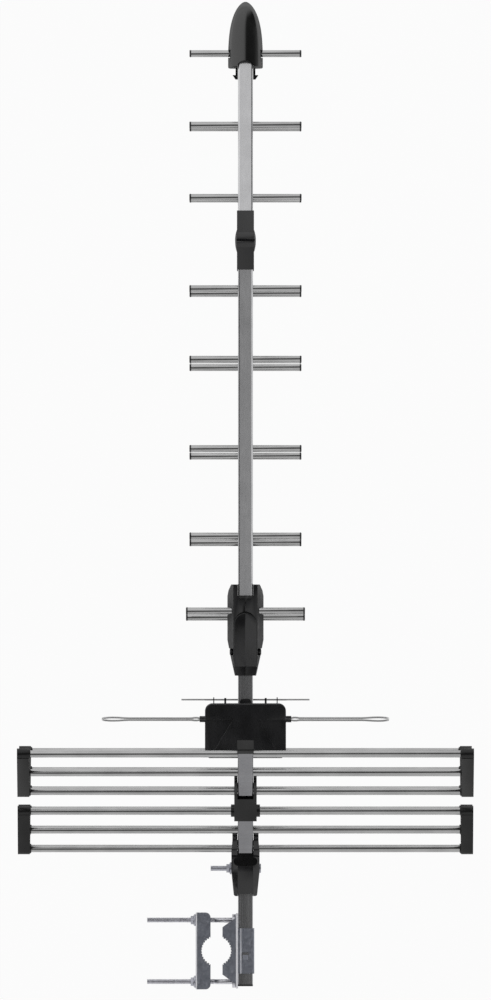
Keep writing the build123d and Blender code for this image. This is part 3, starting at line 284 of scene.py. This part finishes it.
def bend_highlight_share(shader):
    """The share of painted highlight along the saddle's bend: full near it, fading out further off.
    """
    aside = shader.apply("SUBTRACT", shader.along(shader.place, "X"), SADDLE_BEAD_X)
    return shader.spread(shader.apply("ABSOLUTE", aside), 1.0, 0.0, HIGHLIGHT_FULL, HIGHLIGHT_FADED)


def plated_steel(name, low, high, rough, metal=1.0):
    """Bright zinc plate with fine turning marks, dull bloom and darker grime."""
    shader = Shader(name, high, rough, metal=metal)
    bloom = shader.noise(180.0, detail=5.0, rough=0.6)
    marks = shader.noise(1800.0, detail=2.0)
    grime = shader.noise(420.0, detail=4.0, rough=0.7)
    grimy = tuple(0.45 * c for c in low)
    tone = shader.mixed(shader.spread(bloom, 0.0, 1.0), low, high)
    tone = shader.mixed(shader.spread(grime, 0.0, 0.8, 0.6, 0.78), tone, grimy)
    shader.paint(tone)
    shader.roughness(shader.spread(bloom, rough - 0.08, rough + 0.14))
    shader.bump((marks, 0.00004, 0.4))
    return shader.material


def soft_rubber(name):
    """Dull black rubber with a fine grain."""
    shader = Shader(name, (0.03, 0.03, 0.03), 0.7, specular=0.3)
    grain = shader.noise(1500.0)
    shader.paint(shader.mixed(shader.spread(grain, 0.0, 1.0),
                              (0.022, 0.022, 0.022), (0.045, 0.044, 0.043)))
    shader.bump((grain, 0.0001, 0.4))
    return shader.material


def laminate(name):
    """Green lacquered board with a faint glass weave."""
    shader = Shader(name, (0.03, 0.17, 0.07), 0.32)
    weave = shader.node("TexBrick")
    weave.inputs["Scale"].default_value = 1.0
    shader.link(shader.stretched(900.0), weave.inputs["Vector"])
    clouds = shader.noise(120.0)
    shader.paint(shader.mixed(shader.spread(clouds, 0.0, 1.0),
                              (0.02, 0.13, 0.05), (0.04, 0.2, 0.09)))
    shader.bump((weave.outputs["Fac"], 0.00005, 0.3))
    return shader.material


def white_plastic(name):
    """Clouded white plastic."""
    shader = Shader(name, (0.72, 0.72, 0.69), 0.4)
    clouds = shader.noise(300.0)
    shader.paint(shader.mixed(shader.spread(clouds, 0.0, 1.0),
                              (0.66, 0.66, 0.63), (0.76, 0.76, 0.74)))
    shader.bump((clouds, 0.00005, 0.3))
    return shader.material


finishes = {
    "boom_aluminium": drawn_aluminium("drawn_boom", (0.54, 0.54, 0.55), (0.66, 0.66, 0.67),
                                      0.22, along=1),
    "tube_aluminium": drawn_aluminium("drawn_tube", (0.36, 0.36, 0.36), (0.47, 0.47, 0.47),
                                      0.15, along=0),
    "frame_aluminium": drawn_aluminium("drawn_frame", (0.21, 0.21, 0.22), (0.29, 0.29, 0.30),
                                       0.26, along=0),
    "black_plastic": moulded_plastic("moulded_black", (0.012, 0.012, 0.013), 0.22),
    "gasket_rubber": soft_rubber("gasket_rubber"),
    "board_laminate": laminate("green_laminate"),
    "plated_brass": plated_steel("nickel_plate", (0.52, 0.50, 0.45), (0.70, 0.68, 0.62), 0.28),
    "socket_insulator": white_plastic("white_insulator"),
    "zinc_steel": plated_steel("zinc_plate", (0.34, 0.34, 0.38), (0.52, 0.53, 0.58), 0.30),
    "galvanised_steel": galvanised_steel("galvanised"),
}

# Brighter and darker kinds of the finishes above, for single pieces. Two of them carry painted
# highlights: near white on the clamp's plates, and a strip along the saddle's bend.
glossy_black = moulded_plastic("polished_black", (0.004, 0.004, 0.004), 0.18, gloss=1.72)
# Galvanised steel with a painted highlight along the saddle's bend.
bend_highlight_galvanised = galvanised_steel("bend_highlight_galvanised", bend_highlight_share)
dark_black = moulded_plastic("reflector_black", (0.010, 0.010, 0.010), 0.22, gloss=1.36)
# Painted highlight: near-white zinc without metal for the clamp's plates, standing in for the sheen
# along their edges.
edge_highlight_zinc = plated_steel("edge_highlight_zinc", (0.88, 0.88, 0.92), (0.96, 0.96, 0.99), 0.45, metal=0.0)
stud_zinc = plated_steel("stud_zinc", (0.50, 0.50, 0.53), (0.70, 0.70, 0.74), 0.28)
# The plates take the painted edge highlight, and the saddle the painted highlight along its bend.
own_finishes = {"outer_plate": edge_highlight_zinc, "inner_plate": edge_highlight_zinc,
                "boom_saddle": bend_highlight_galvanised}


def finish_nodes():
    """Every CAD node takes its own finish, or that of its slot."""
    for name, node in nodes.items():
        chosen = own_finishes.get(name, finishes[node_slots[name]])
        for place in range(len(node.material_slots)):
            node.material_slots[place].material = chosen
        if not node.material_slots:
            node.data.materials.append(chosen)


# Objects and meshes

# Points nearer than this are one point, in a built mesh and in a copy of a node.
SAME_POINT, SAME_CAD_POINT = 2e-7, 2e-6
FLAT_ANGLE = math.radians(1.0)
EDGE_SEGMENTS = 3


def loose_object(name, mesh):
    """An object in the scene that isn't a piece yet."""
    made = bpy.data.objects.new(name, mesh)
    bpy.context.scene.collection.objects.link(made)
    return made


def adopt(name, mesh, body, slot, finish=None):
    """A finished mesh becomes a piece that rides on a body."""
    mesh.name = name
    mesh.materials.clear()
    mesh.materials.append(finish or finishes[slot])
    piece = loose_object(name, mesh)
    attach(piece, body)
    return piece


def solid_mesh(name, verts, faces, weld=0.0):
    """A mesh with its faces turned outward and its near points welded."""
    mesh = bpy.data.meshes.new(name)
    mesh.from_pydata([tuple(v) for v in verts], [], faces)
    mesh.validate()
    work = bmesh.new()
    work.from_mesh(mesh)
    if weld:
        bmesh.ops.remove_doubles(work, verts=work.verts, dist=weld)
    bmesh.ops.recalc_face_normals(work, faces=work.faces)
    work.to_mesh(mesh)
    work.free()
    return mesh


def new_piece(name, verts, faces, body, slot, smooth=35.0, finish=None):
    """A piece from points in the CAD frame, in metres, with edges over an angle kept sharp."""
    mesh = solid_mesh(name, verts, faces, SAME_POINT)
    for face in mesh.polygons:
        face.use_smooth = True
    mesh.set_sharp_from_angle(angle=math.radians(smooth))
    return adopt(name, mesh, body, slot, finish)


def evaluated_mesh(made):
    """The mesh of an object with its modifiers applied."""
    graph = bpy.context.evaluated_depsgraph_get()
    return bpy.data.meshes.new_from_object(made.evaluated_get(graph))


def clean_copy(node):
    """A node's mesh without its doubled points and flat edges."""
    mesh = nodes[node].data.copy()
    work = bmesh.new()
    work.from_mesh(mesh)
    bmesh.ops.remove_doubles(work, verts=work.verts, dist=SAME_CAD_POINT)
    bmesh.ops.dissolve_limit(work, angle_limit=FLAT_ANGLE, verts=work.verts, edges=work.edges)
    work.to_mesh(mesh)
    work.free()
    return mesh


def rounded(mesh, width, angle=30.0):
    """The mesh with its edges over an angle rounded and even shading on its flats."""
    for face in mesh.polygons:
        face.use_smooth = True
    raw = loose_object("raw", mesh)
    bevel = raw.modifiers.new("round", "BEVEL")
    bevel.width = width
    bevel.segments = EDGE_SEGMENTS
    bevel.limit_method = "ANGLE"
    bevel.angle_limit = math.radians(angle)
    bevel.use_clamp_overlap = True
    bevel.harden_normals = True
    mesh = evaluated_mesh(raw)
    bpy.data.objects.remove(raw)
    return mesh


def softened(name, node, width, angle=30.0, finish=None):
    """A copy of a node with its edges rounded, in the node's place."""
    mesh = rounded(clean_copy(node), width, angle)
    piece = adopt(name, mesh, body_of(node), node_slots[node], finish)
    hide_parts(node)


def cut(piece, cutters, operation="DIFFERENCE"):
    """Cuts other objects out of a piece, or keeps what is inside them. The cutters go."""
    for cutter in cutters:
        tool = piece.modifiers.new("cut", "BOOLEAN")
        tool.operation = operation
        tool.solver = "EXACT"
        tool.object = cutter
    mesh = evaluated_mesh(piece)
    piece.modifiers.clear()
    piece.data = mesh
    for cutter in cutters:
        bpy.data.objects.remove(cutter)


# Forms, added to lists of points and faces

def add_lathe(verts, faces, profile, place, axis, steps):
    """Adds a turned form. The profile is (distance along the axis, radius) and closes on itself."""
    turn = Vector((0, 0, 1)).rotation_difference(Vector(axis)).to_matrix()
    first = len(verts)
    for along, radius in profile:
        for step in range(steps):
            angle = 2 * math.pi * step / steps
            point = Vector((radius * math.cos(angle), radius * math.sin(angle), along))
            verts.append(turn @ point + Vector(place))
    rings = len(profile)
    for ring in range(rings):
        after = (ring + 1) % rings
        for step in range(steps):
            right = (step + 1) % steps
            faces.append((first + ring * steps + step, first + ring * steps + right,
                          first + after * steps + right, first + after * steps + step))


def add_skin(verts, faces, loops, closed=False):
    """Adds a skin over loops of equally many points.

    It closes on itself or has a face at each end.
    """
    first, count = len(verts), len(loops[0])
    for loop in loops:
        verts.extend(Vector(point) for point in loop)
    for ring in range(len(loops) if closed else len(loops) - 1):
        start, after = first + ring * count, first + (ring + 1) % len(loops) * count
        for step in range(count):
            right = (step + 1) % count
            faces.append((start + step, start + right, after + right, after + step))
    if not closed:
        faces.append(tuple(range(first, first + count)))
        faces.append(tuple(range(first + (len(loops) - 1) * count, first + len(loops) * count)))


def add_wire(verts, faces, points, radius, steps):
    """Adds a round wire along a path, with its frame carried along without twist."""
    points = [Vector(point) for point in points]
    loops, across = [], Vector((0.0, 1.0, 0.0))
    for place, point in enumerate(points):
        before, after = points[max(place - 1, 0)], points[min(place + 1, len(points) - 1)]
        ahead = (after - before).normalized()
        across = (across - ahead * across.dot(ahead)).normalized()
        other = ahead.cross(across)
        loops.append([point + radius * (math.cos(a) * across + math.sin(a) * other)
                      for a in (2 * math.pi * step / steps for step in range(steps))])
    add_skin(verts, faces, loops)


def loose_skin(name, loops):
    """A loose object with a closed skin over loops of points."""
    verts, faces = [], []
    add_skin(verts, faces, loops)
    return loose_object(name, solid_mesh(name, verts, faces))


def prism(name, outline, reach):
    """A loose upright prism over a plan outline, as far up as down."""
    return loose_skin(name, [[(x, y, z) for x, y in outline] for z in (-reach, reach)])


# Directors, reflector rods and their caps

BOOM_X = 35.0 * MM
TUBE_WALL, TUBE_EDGE, TUBE_STEPS = 0.8 * MM, 0.15 * MM, 40
DIRECTOR_CAP_ROUND = 0.3 * MM
TUBE_NODES = ("upper_front_directors", "lower_front_directors", "upper_rear_directors",
              "lower_rear_directors", "middle_directors", "nose_director", "upper_inner_rods",
              "upper_outer_rods", "lower_inner_rods", "lower_outer_rods")

# Where along Y the directors' ends stand further out than in their nodes, or less far. In the
# photo the pair at the connector is longer than in the nodes, and the nose's is shorter.
END_SHIFTS = ((392.0 * MM, 418.0 * MM, 4.25 * MM), (1070.0 * MM, 1086.0 * MM, -4.25 * MM))


def end_shift(y):
    """How much further from the boom a director's ends stand than in its node."""
    for low, high, shift in END_SHIFTS:
        if low < y < high:
            return shift
    return 0.0


def islands(node):
    """The boxes of a node's separate solids, from the rear, below and the left."""
    work = bmesh.new()
    work.from_mesh(nodes[node].data)
    bmesh.ops.remove_doubles(work, verts=work.verts, dist=SAME_POINT)
    seen, found = set(), []
    for start in work.verts:
        if start.index in seen:
            continue
        stack, group = [start], []
        seen.add(start.index)
        while stack:
            vert = stack.pop()
            group.append(vert.co.copy())
            for edge in vert.link_edges:
                other = edge.other_vert(vert)
                if other.index not in seen:
                    seen.add(other.index)
                    stack.append(other)
        low = Vector([min(c[i] for c in group) for i in range(3)])
        high = Vector([max(c[i] for c in group) for i in range(3)])
        found.append((low, high))
    work.free()
    return sorted(found, key=lambda b: (round(b[0].y, 4), round(b[0].z, 4), b[0].x))


def tube_profile(length, outer):
    """A tube's wall as a closed profile with softened ends."""
    inner, half, edge = outer - TUBE_WALL, length / 2, TUBE_EDGE
    return [(-half, inner), (-half, outer - edge), (-half + edge * 0.3, outer - edge * 0.3),
            (-half + edge, outer), (half - edge, outer), (half - edge * 0.3, outer - edge * 0.3),
            (half, outer - edge), (half, inner)]


def fine_tubes(name, node):
    """Smoother tubes in the place of a node's coarse ones, with the same middles and radius."""
    verts, faces = [], []
    for low, high in islands(node):
        radius = (high.z - low.z) / 2
        middle = (low + high) / 2
        length = high.x - low.x + 2 * end_shift(middle.y)
        add_lathe(verts, faces, tube_profile(length, radius), middle, (1, 0, 0), TUBE_STEPS)
    piece = new_piece(name, verts, faces, body_of(node), node_slots[node])
    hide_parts(node)


def director_cap_mouldings(name, node):
    """Rounded end caps at the ends of the directors."""
    mesh = rounded(clean_copy(node), DIRECTOR_CAP_ROUND)
    for vert in mesh.vertices:
        side = 1 if vert.co.x > BOOM_X else -1
        vert.co.x += side * end_shift(vert.co.y)
    piece = adopt(name, mesh, body_of(node), node_slots[node])
    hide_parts(node)


# Mouldings with rounded edges

ELBOW_ROUND, POD_ROUND, MOULD_ROUND, TIP_ROUND = 2.4 * MM, 0.8 * MM, 0.9 * MM, 0.8 * MM
BOX_ROUND, BOOM_CAP_ROUND, NUT_ROUND = 0.5 * MM, 0.6 * MM, 0.35 * MM
POD_EDGE_ANGLE = 14.0  # low enough to take in the pod's ridge


def build_mouldings():
    """The black mouldings and the clamp's nuts with rounded edges."""
    for side in ("upper", "lower"):
        softened(f"{side}_elbow_moulding", f"{side}_elbow", ELBOW_ROUND)
        softened(f"{side}_pod_moulding", f"{side}_connector_pod", POD_ROUND, POD_EDGE_ANGLE)
        softened(f"{side}_fold_moulding", f"{side}_fold_block", MOULD_ROUND, finish=dark_black)
        softened(f"{side}_tip_moulding", f"{side}_tip_cap", TIP_ROUND, finish=dark_black)
        for reach in ("inner", "outer"):
            softened(f"{side}_{reach}_end_mouldings", f"{side}_{reach}_end_bars", MOULD_ROUND,
                     finish=dark_black)
    softened("bracket_moulding", "reflector_bracket", MOULD_ROUND)
    softened("connector_right_moulding", "connector_right_half", MOULD_ROUND)
    softened("connector_left_moulding", "connector_left_half", MOULD_ROUND)
    softened("box_lid_moulding", "dipole_box_lid", BOX_ROUND)
    softened("box_body_moulding", "dipole_box_body", BOX_ROUND)
    softened("boom_cap_moulding", "boom_end_cap", BOOM_CAP_ROUND)
    softened("clamp_nut_forgings", "clamp_nuts", NUT_ROUND)


# Nose

NOSE_REAR, NOSE_LENGTH, NOSE_HALF, NOSE_HIGH = 1060.6 * MM, 80.0 * MM, 20.9 * MM, 40.3 * MM
NOSE_WALL, NOSE_INNER_SHARE, NOSE_TIP_SHARE = 2.0 * MM, 0.9, 0.998
NOSE_INNER_STEPS, NOSE_OUTER_STEPS = 16, 48

# The outline narrows as (1 - share ** power) ** NOSE_ROUNDING toward the tip.
NOSE_PLAN_POWER, NOSE_SIDE_POWER, NOSE_ROUNDING, NOSE_FALL = 3.2, 11, 0.6, 0.38

# How steep a flank is in degrees, at shares of the half width from the ridge outward.
FLANK_ANGLES = ((0.0, 13.0), (0.5, 27.0), (0.68, 38.0), (0.82, 55.0), (0.93, 70.0), (1.0, 84.0))
FLANK_STEPS = 24
RIDGE_WIDTH = 1.6 * MM
RIDGE_DROP = RIDGE_WIDTH / 8

# The rear rim is turned in over its depth, by these shares of the depth.
RIM_DEPTH = 1.8 * MM
RIM_FORM = ((0.0, 1.0), (0.1, 0.55), (0.35, 0.25), (0.7, 0.06), (1.0, 0.0))

ARCH_HALF, ARCH_DEPTH, ARCH_STEP = 10.5 * MM, 9.0 * MM, 6  # the step in degrees
NOTCH_Y, NOTCH_HALF, NOTCH_NEAR, NOTCH_FAR = 1077.6 * MM, 4.8 * MM, 17.5 * MM, 30 * MM
NOSE_SHARP_ANGLE = 32.0

# The room for the carrier: its gap to the shell, its reach behind it, and its sections, which
# stand a step of the nose's length apart and stop short of the tip.
CARRIER_GAP, CARRIER_REACH, CARRIER_STEPS, CARRIER_SECTIONS = 0.2 * MM, 30 * MM, 20, 18


def flank_drops():
    """Pairs of the share of the half width and the fall below the ridge, in half widths."""
    drops, fall = [(0.0, 0.0)], 0.0
    for step in range(1, FLANK_STEPS + 1):
        share = math.sin(math.pi / 2 * step / FLANK_STEPS)
        before = drops[-1][0]
        middle = (share + before) / 2
        for (a, low), (b, high) in zip(FLANK_ANGLES, FLANK_ANGLES[1:]):
            if a <= middle <= b:
                lean = low + (high - low) * (middle - a) / (b - a)
        fall += (share - before) * math.tan(math.radians(lean))
        drops.append((share, fall))
    return drops


def nose_loop(share, inset, rim=0.0):
    """One upright section of the nose: a rounded ridge, curved flanks and straight sides."""
    plan, side = 1 - share ** NOSE_PLAN_POWER, 1 - share ** NOSE_SIDE_POWER
    half = NOSE_HALF * plan ** NOSE_ROUNDING - inset - rim
    high = NOSE_HIGH * (1 - NOSE_FALL * share) * side ** NOSE_ROUNDING - inset - rim
    y = NOSE_REAR + share * NOSE_LENGTH
    top = []
    for across, fall in flank_drops():
        x = across * half
        ridge = RIDGE_DROP * (1 - min(x / RIDGE_WIDTH, 1.0)) ** 2
        top.append((x, max(high - fall * half - ridge, 0.0)))
    right = top + [(half, 0.0)] + [(x, -z) for x, z in reversed(top)]
    return ([(BOOM_X + x, y, z) for x, z in right]
            + [(BOOM_X - x, y, z) for x, z in reversed(right)])


def build_nose():
    """The nose shell with its ridge, boom arches and director notches."""
    inner = [NOSE_INNER_SHARE * (1 - step / NOSE_INNER_STEPS)
             for step in range(NOSE_INNER_STEPS + 1)]
    outer = [NOSE_TIP_SHARE * math.sin(math.pi / 2 * step / NOSE_OUTER_STEPS)
             for step in range(1, NOSE_OUTER_STEPS + 1)]
    loops = [nose_loop(share, NOSE_WALL) for share in inner]
    loops += [nose_loop(along * RIM_DEPTH / NOSE_LENGTH, 0.0, rim * RIM_DEPTH)
              for along, rim in RIM_FORM]
    loops += [nose_loop(share, 0.0) for share in outer if share * NOSE_LENGTH > RIM_DEPTH]
    verts, faces = [], []
    add_skin(verts, faces, loops)
    piece = new_piece("nose_moulding", verts, faces, "antenna", "black_plastic",
                      finish=glossy_black)
    reach = 2 * NOSE_HIGH
    arch = [(BOOM_X + ARCH_HALF * math.cos(math.radians(angle)),
             NOSE_REAR + ARCH_DEPTH * math.sin(math.radians(angle)))
            for angle in range(0, 360, ARCH_STEP)]
    cutters = [prism("arch", arch, reach)]
    for side in (1, -1):
        near, far = BOOM_X + side * NOTCH_NEAR, BOOM_X + side * NOTCH_FAR
        rear, front = NOTCH_Y - NOTCH_HALF, NOTCH_Y + NOTCH_HALF
        box = [(near, rear), (far, rear), (far, front), (near, front)]
        cutters.append(prism("notch", box, reach))
    cut(piece, cutters)
    piece.data.set_sharp_from_angle(angle=math.radians(NOSE_SHARP_ANGLE))
    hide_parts("nose_shell")


def build_nose_carrier():
    """The carrier, trimmed to the room inside the nose shell."""
    inset = NOSE_WALL + CARRIER_GAP
    room = [[(x, y - CARRIER_REACH, z) for x, y, z in nose_loop(0.0, inset)]]
    room += [nose_loop(step / CARRIER_STEPS, inset) for step in range(CARRIER_SECTIONS)]
    piece = adopt("carrier_moulding", clean_copy("nose_carrier"), "antenna", "black_plastic")
    cut(piece, [loose_skin("room", room)], "INTERSECT")
    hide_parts("nose_carrier")


# Main boom

BOOM_REAR, BOOM_FRONT = -40.2 * MM, 372.0 * MM
BOOM_HALF, BOOM_CORNER, BORE_HALF, BORE_CORNER = 9.0 * MM, 0.9 * MM, 7.5 * MM, 0.3 * MM
CORNER_STEPS = 6


def rounded_square(half, corner):
    """Points round a square with rounded corners, as pairs."""
    points = []
    for quarter in range(4):
        turn = math.pi / 2 * quarter
        mid = Vector((half - corner, half - corner))
        for step in range(CORNER_STEPS + 1):
            angle = math.pi / 2 * step / CORNER_STEPS
            point = mid + corner * Vector((math.cos(angle), math.sin(angle)))
            points.append((point.x * math.cos(turn) - point.y * math.sin(turn),
                           point.x * math.sin(turn) + point.y * math.cos(turn)))
    return points


def build_main_boom():
    """The main boom as a square tube with crisp corners."""
    outer, bore = rounded_square(BOOM_HALF, BOOM_CORNER), rounded_square(BORE_HALF, BORE_CORNER)
    ends = ((BOOM_REAR, bore), (BOOM_REAR, outer), (BOOM_FRONT, outer), (BOOM_FRONT, bore))
    verts, faces = [], []
    add_skin(verts, faces, [[(BOOM_X + x, y, z) for x, z in ring] for y, ring in ends],
             closed=True)
    piece = new_piece("main_boom_tube", verts, faces, "antenna", "boom_aluminium")
    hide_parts("main_boom")


# Clamp studs

STUD_RADIUS, STUD_SPREAD, STUD_STEPS = 3.0 * MM, 37.0 * MM, 20
THREAD_START, THREAD_END = -83.2 * MM, -2.0 * MM
THREAD_PITCH, THREAD_DEPTH = 1.0 * MM, 0.42 * MM
# One turn of the thread: the share of the pitch and of the depth.
THREAD_FORM = ((0.0, 0.0), (0.16, 0.0), (0.46, 1.0), (0.66, 1.0))
# The shank and the riveted collar behind the thread: X and radius in mm.
SHANK_PROFILE = ((-1.6, 3.0), (19.0, 3.0), (19.0, 6.9), (19.4, 7.3), (23.2, 7.3), (23.6, 6.9),
                 (23.6, 3.0), (26.0, 3.0))


def stud_turns():
    """The angles of a stud's points, once round."""
    return [2 * math.pi * step / STUD_STEPS for step in range(STUD_STEPS)]


def thread_loops(centre_y):
    """Loops of a helical thread along X, round a stud's axis."""
    loops = []
    for turn in range(-1, int((THREAD_END - THREAD_START) / THREAD_PITCH) + 2):
        for along, deep in THREAD_FORM:
            loop = []
            for step, angle in enumerate(stud_turns()):
                x = THREAD_START + THREAD_PITCH * (turn + along + step / STUD_STEPS)
                past_end = x < THREAD_START or x > THREAD_END
                radius = STUD_RADIUS - THREAD_DEPTH * (1.0 if past_end else deep)
                loop.append((min(max(x, THREAD_START), THREAD_END),
                             centre_y + radius * math.cos(angle), radius * math.sin(angle)))
            loops.append(loop)
    return loops


def build_studs():
    """The clamp's rods: a cut thread, a plain shank and a riveted collar."""
    verts, faces = [], []
    for centre_y in (STUD_SPREAD, -STUD_SPREAD):
        loops = thread_loops(centre_y)
        loops += [[(x * MM, centre_y + radius * MM * math.cos(angle),
                    radius * MM * math.sin(angle)) for angle in stud_turns()]
                  for x, radius in SHANK_PROFILE]
        add_skin(verts, faces, loops)
    piece = new_piece("threaded_studs", verts, faces, "antenna", "zinc_steel", smooth=50.0,
                      finish=stud_zinc)
    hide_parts("clamp_studs")


# Connector screw heads

SCREW_Y, SCREW_SEAT, SCREW_STEPS = 359.4 * MM, 14.8 * MM, 32
# Distance out from the seat and radius in mm. The hollow in the middle is the drive.
SCREW_PROFILE = ((0.0, 0.6), (0.0, 4.3), (2.9, 4.3), (3.7, 3.9), (4.1, 3.0), (4.2, 1.9),
                 (3.2, 1.7), (3.2, 0.6))


def build_screw_heads():
    """Black heads that fill the connector's cross screw pockets out to its sides."""
    verts, faces = [], []
    profile = [(along * MM, radius * MM) for along, radius in SCREW_PROFILE]
    for side in (1, -1):
        add_lathe(verts, faces, profile, (BOOM_X + side * SCREW_SEAT, SCREW_Y, 0.0),
                  (side, 0, 0), SCREW_STEPS)
    new_piece("connector_screw_heads", verts, faces, "antenna", "black_plastic")


# Dipoles

DIPOLE_Y, WIRE_RADIUS, WIRE_STEPS = 278.5 * MM, 1.2 * MM, 16
LOOP_HIGH, LOOP_CORNER, LOOP_END, LOOP_STEPS = 10.3 * MM, 7.0 * MM, 171.6 * MM, 8
# How far each wire stands off the loop's middle plane along its run from the boom, in mm, and how
# much nearer it comes in the corner at the outer end.
LOOP_SPREAD = ((36.0, 1.15), (55.0, 1.15), (58.0, 1.7), (61.0, 1.7), (65.0, 1.15), (140.0, 1.15),
               (146.0, 1.4), (153.0, 1.9), (160.0, 2.05), (164.6, 1.9))
LOOP_CLOSING = 1.1


def dipole_path():
    """A loop's wire from the box out along its top, round the end and back along its bottom."""
    half = [(x * MM, -y * MM, LOOP_HIGH) for x, y in LOOP_SPREAD]
    for step in range(1, LOOP_STEPS + 1):
        angle = math.pi / 2 * (1 - step / LOOP_STEPS)
        off = LOOP_SPREAD[-1][1] - LOOP_CLOSING * step / LOOP_STEPS
        half.append((LOOP_END - LOOP_CORNER * (1 - math.cos(angle)), -off * MM,
                     LOOP_HIGH - LOOP_CORNER * (1 - math.sin(angle))))
    return half + [(x, -y, -z) for x, y, z in reversed(half)]


def build_dipoles():
    """The two folded dipole loops in thin wire, opening toward their outer ends."""
    for side, node in ((1, "dipole_right"), (-1, "dipole_left")):
        path = [(BOOM_X + side * x, DIPOLE_Y + side * y, z) for x, y, z in dipole_path()]
        verts, faces = [], []
        add_wire(verts, faces, path, WIRE_RADIUS, WIRE_STEPS)
        piece = new_piece(f"{node}_wire", verts, faces, body_of(node), node_slots[node],
                          smooth=60.0)
        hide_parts(node)


# Stage, light and camera

def build_stage():
    """A pale floor under the antenna that takes its soft shadow.

    It glows white where the camera, a reflection or a see-through surface looks at it.
    """
    low, far = cad_box[0][2] - FLOOR_DROP, FLOOR_HALF
    mesh = bpy.data.meshes.new("floor")
    mesh.from_pydata([(-far, -far, low), (far, -far, low), (far, far, low), (-far, far, low)],
                     [], [(0, 1, 2, 3)])
    floor = loose_object("floor", mesh)
    material = bpy.data.materials.new("pale_floor")
    material.use_nodes = True
    tree = material.node_tree
    tree.nodes.clear()
    diffuse = add_node(tree, "BsdfDiffuse")
    diffuse.inputs["Color"].default_value = (FLOOR_GREY, FLOOR_GREY, FLOOR_GREY, 1.0)
    glow = add_node(tree, "Emission")
    rays = add_node(tree, "LightPath").outputs
    seen = add_math(tree, "MAXIMUM", rays["Is Camera Ray"], rays["Is Glossy Ray"])
    seen = add_math(tree, "MAXIMUM", seen, rays["Is Transmission Ray"])
    mix = add_node(tree, "MixShader")
    out = add_node(tree, "OutputMaterial")
    tree.links.new(add_math(tree, "MULTIPLY", seen, FLOOR_GLOW), mix.inputs["Fac"])
    tree.links.new(diffuse.outputs["BSDF"], mix.inputs[1])
    tree.links.new(glow.outputs["Emission"], mix.inputs[2])
    tree.links.new(mix.outputs["Shader"], out.inputs["Surface"])
    mesh.materials.append(material)


# Brightness of the studio across a dark lane that runs overhead between two light banks.
# A place is how far a direction leans out of the lane, from -1 on the -Y side to 1 on the +Y side.
LANE_TURN = math.radians(30.0)
LANE_STOPS = ((-1.0, 0.8), (-0.8, 0.85), (-0.46, 0.9), (-0.34, 0.58), (-0.25, 0.34),
              (-0.15, 0.10), (0.0, 0.070), (0.2, 0.09), (0.29, 0.26), (0.37, 0.52),
              (0.47, 0.80), (0.6, 1.05), (1.0, 1.15))


def build_light():
    """A soft studio of two light banks with a dark lane between them."""
    world = bpy.data.worlds.new("studio")
    bpy.context.scene.world = world
    world.use_nodes = True
    tree = world.node_tree
    coordinates = add_node(tree, "TexCoord")
    lean = add_node(tree, "VectorMath", operation="DOT_PRODUCT")
    lean.inputs[1].default_value = (-math.sin(LANE_TURN), math.cos(LANE_TURN), 0.0)
    tree.links.new(coordinates.outputs["Generated"], lean.inputs[0])
    across = add_node(tree, "MapRange")
    across.inputs["From Min"].default_value = -1.0
    tree.links.new(lean.outputs["Value"], across.inputs["Value"])
    ramp = add_node(tree, "ValToRGB")
    fill_ramp(ramp, [((place + 1) / 2, (level,) * 3) for place, level in LANE_STOPS])
    tree.links.new(across.outputs["Result"], ramp.inputs["Fac"])
    tree.links.new(ramp.outputs["Color"], tree.nodes["Background"].inputs["Color"])


def build_camera():
    """Straight above, at the photo's scale and framing."""
    data = bpy.data.cameras.new("camera")
    data.sensor_fit = "VERTICAL"
    data.sensor_height = SENSOR
    data.sensor_width = SENSOR
    data.lens = SENSOR * (CAMERA_HEIGHT - SCALE_PLANE) / (IMAGE_HEIGHT * PIXEL)
    data.clip_start = 1.0
    data.clip_end = 2.0 * CAMERA_HEIGHT
    camera = loose_object("camera", data)
    camera.location = ((IMAGE_WIDTH / 2 - AXIS_COLUMN) * PIXEL,
                       (MAST_ROW - IMAGE_HEIGHT / 2) * PIXEL, CAMERA_HEIGHT)
    bpy.context.scene.camera = camera
    bpy.context.scene.view_settings.view_transform = "Standard"


build_stage()
build_light()
build_camera()
finish_nodes()

for tubes in TUBE_NODES:
    fine_tubes(f"fine_{tubes}", tubes)
build_mouldings()
build_nose()
build_nose_carrier()
build_main_boom()
build_studs()
build_screw_heads()
build_dipoles()
director_cap_mouldings("outer_cap_mouldings", "outer_director_caps")
director_cap_mouldings("middle_cap_mouldings", "middle_director_caps")
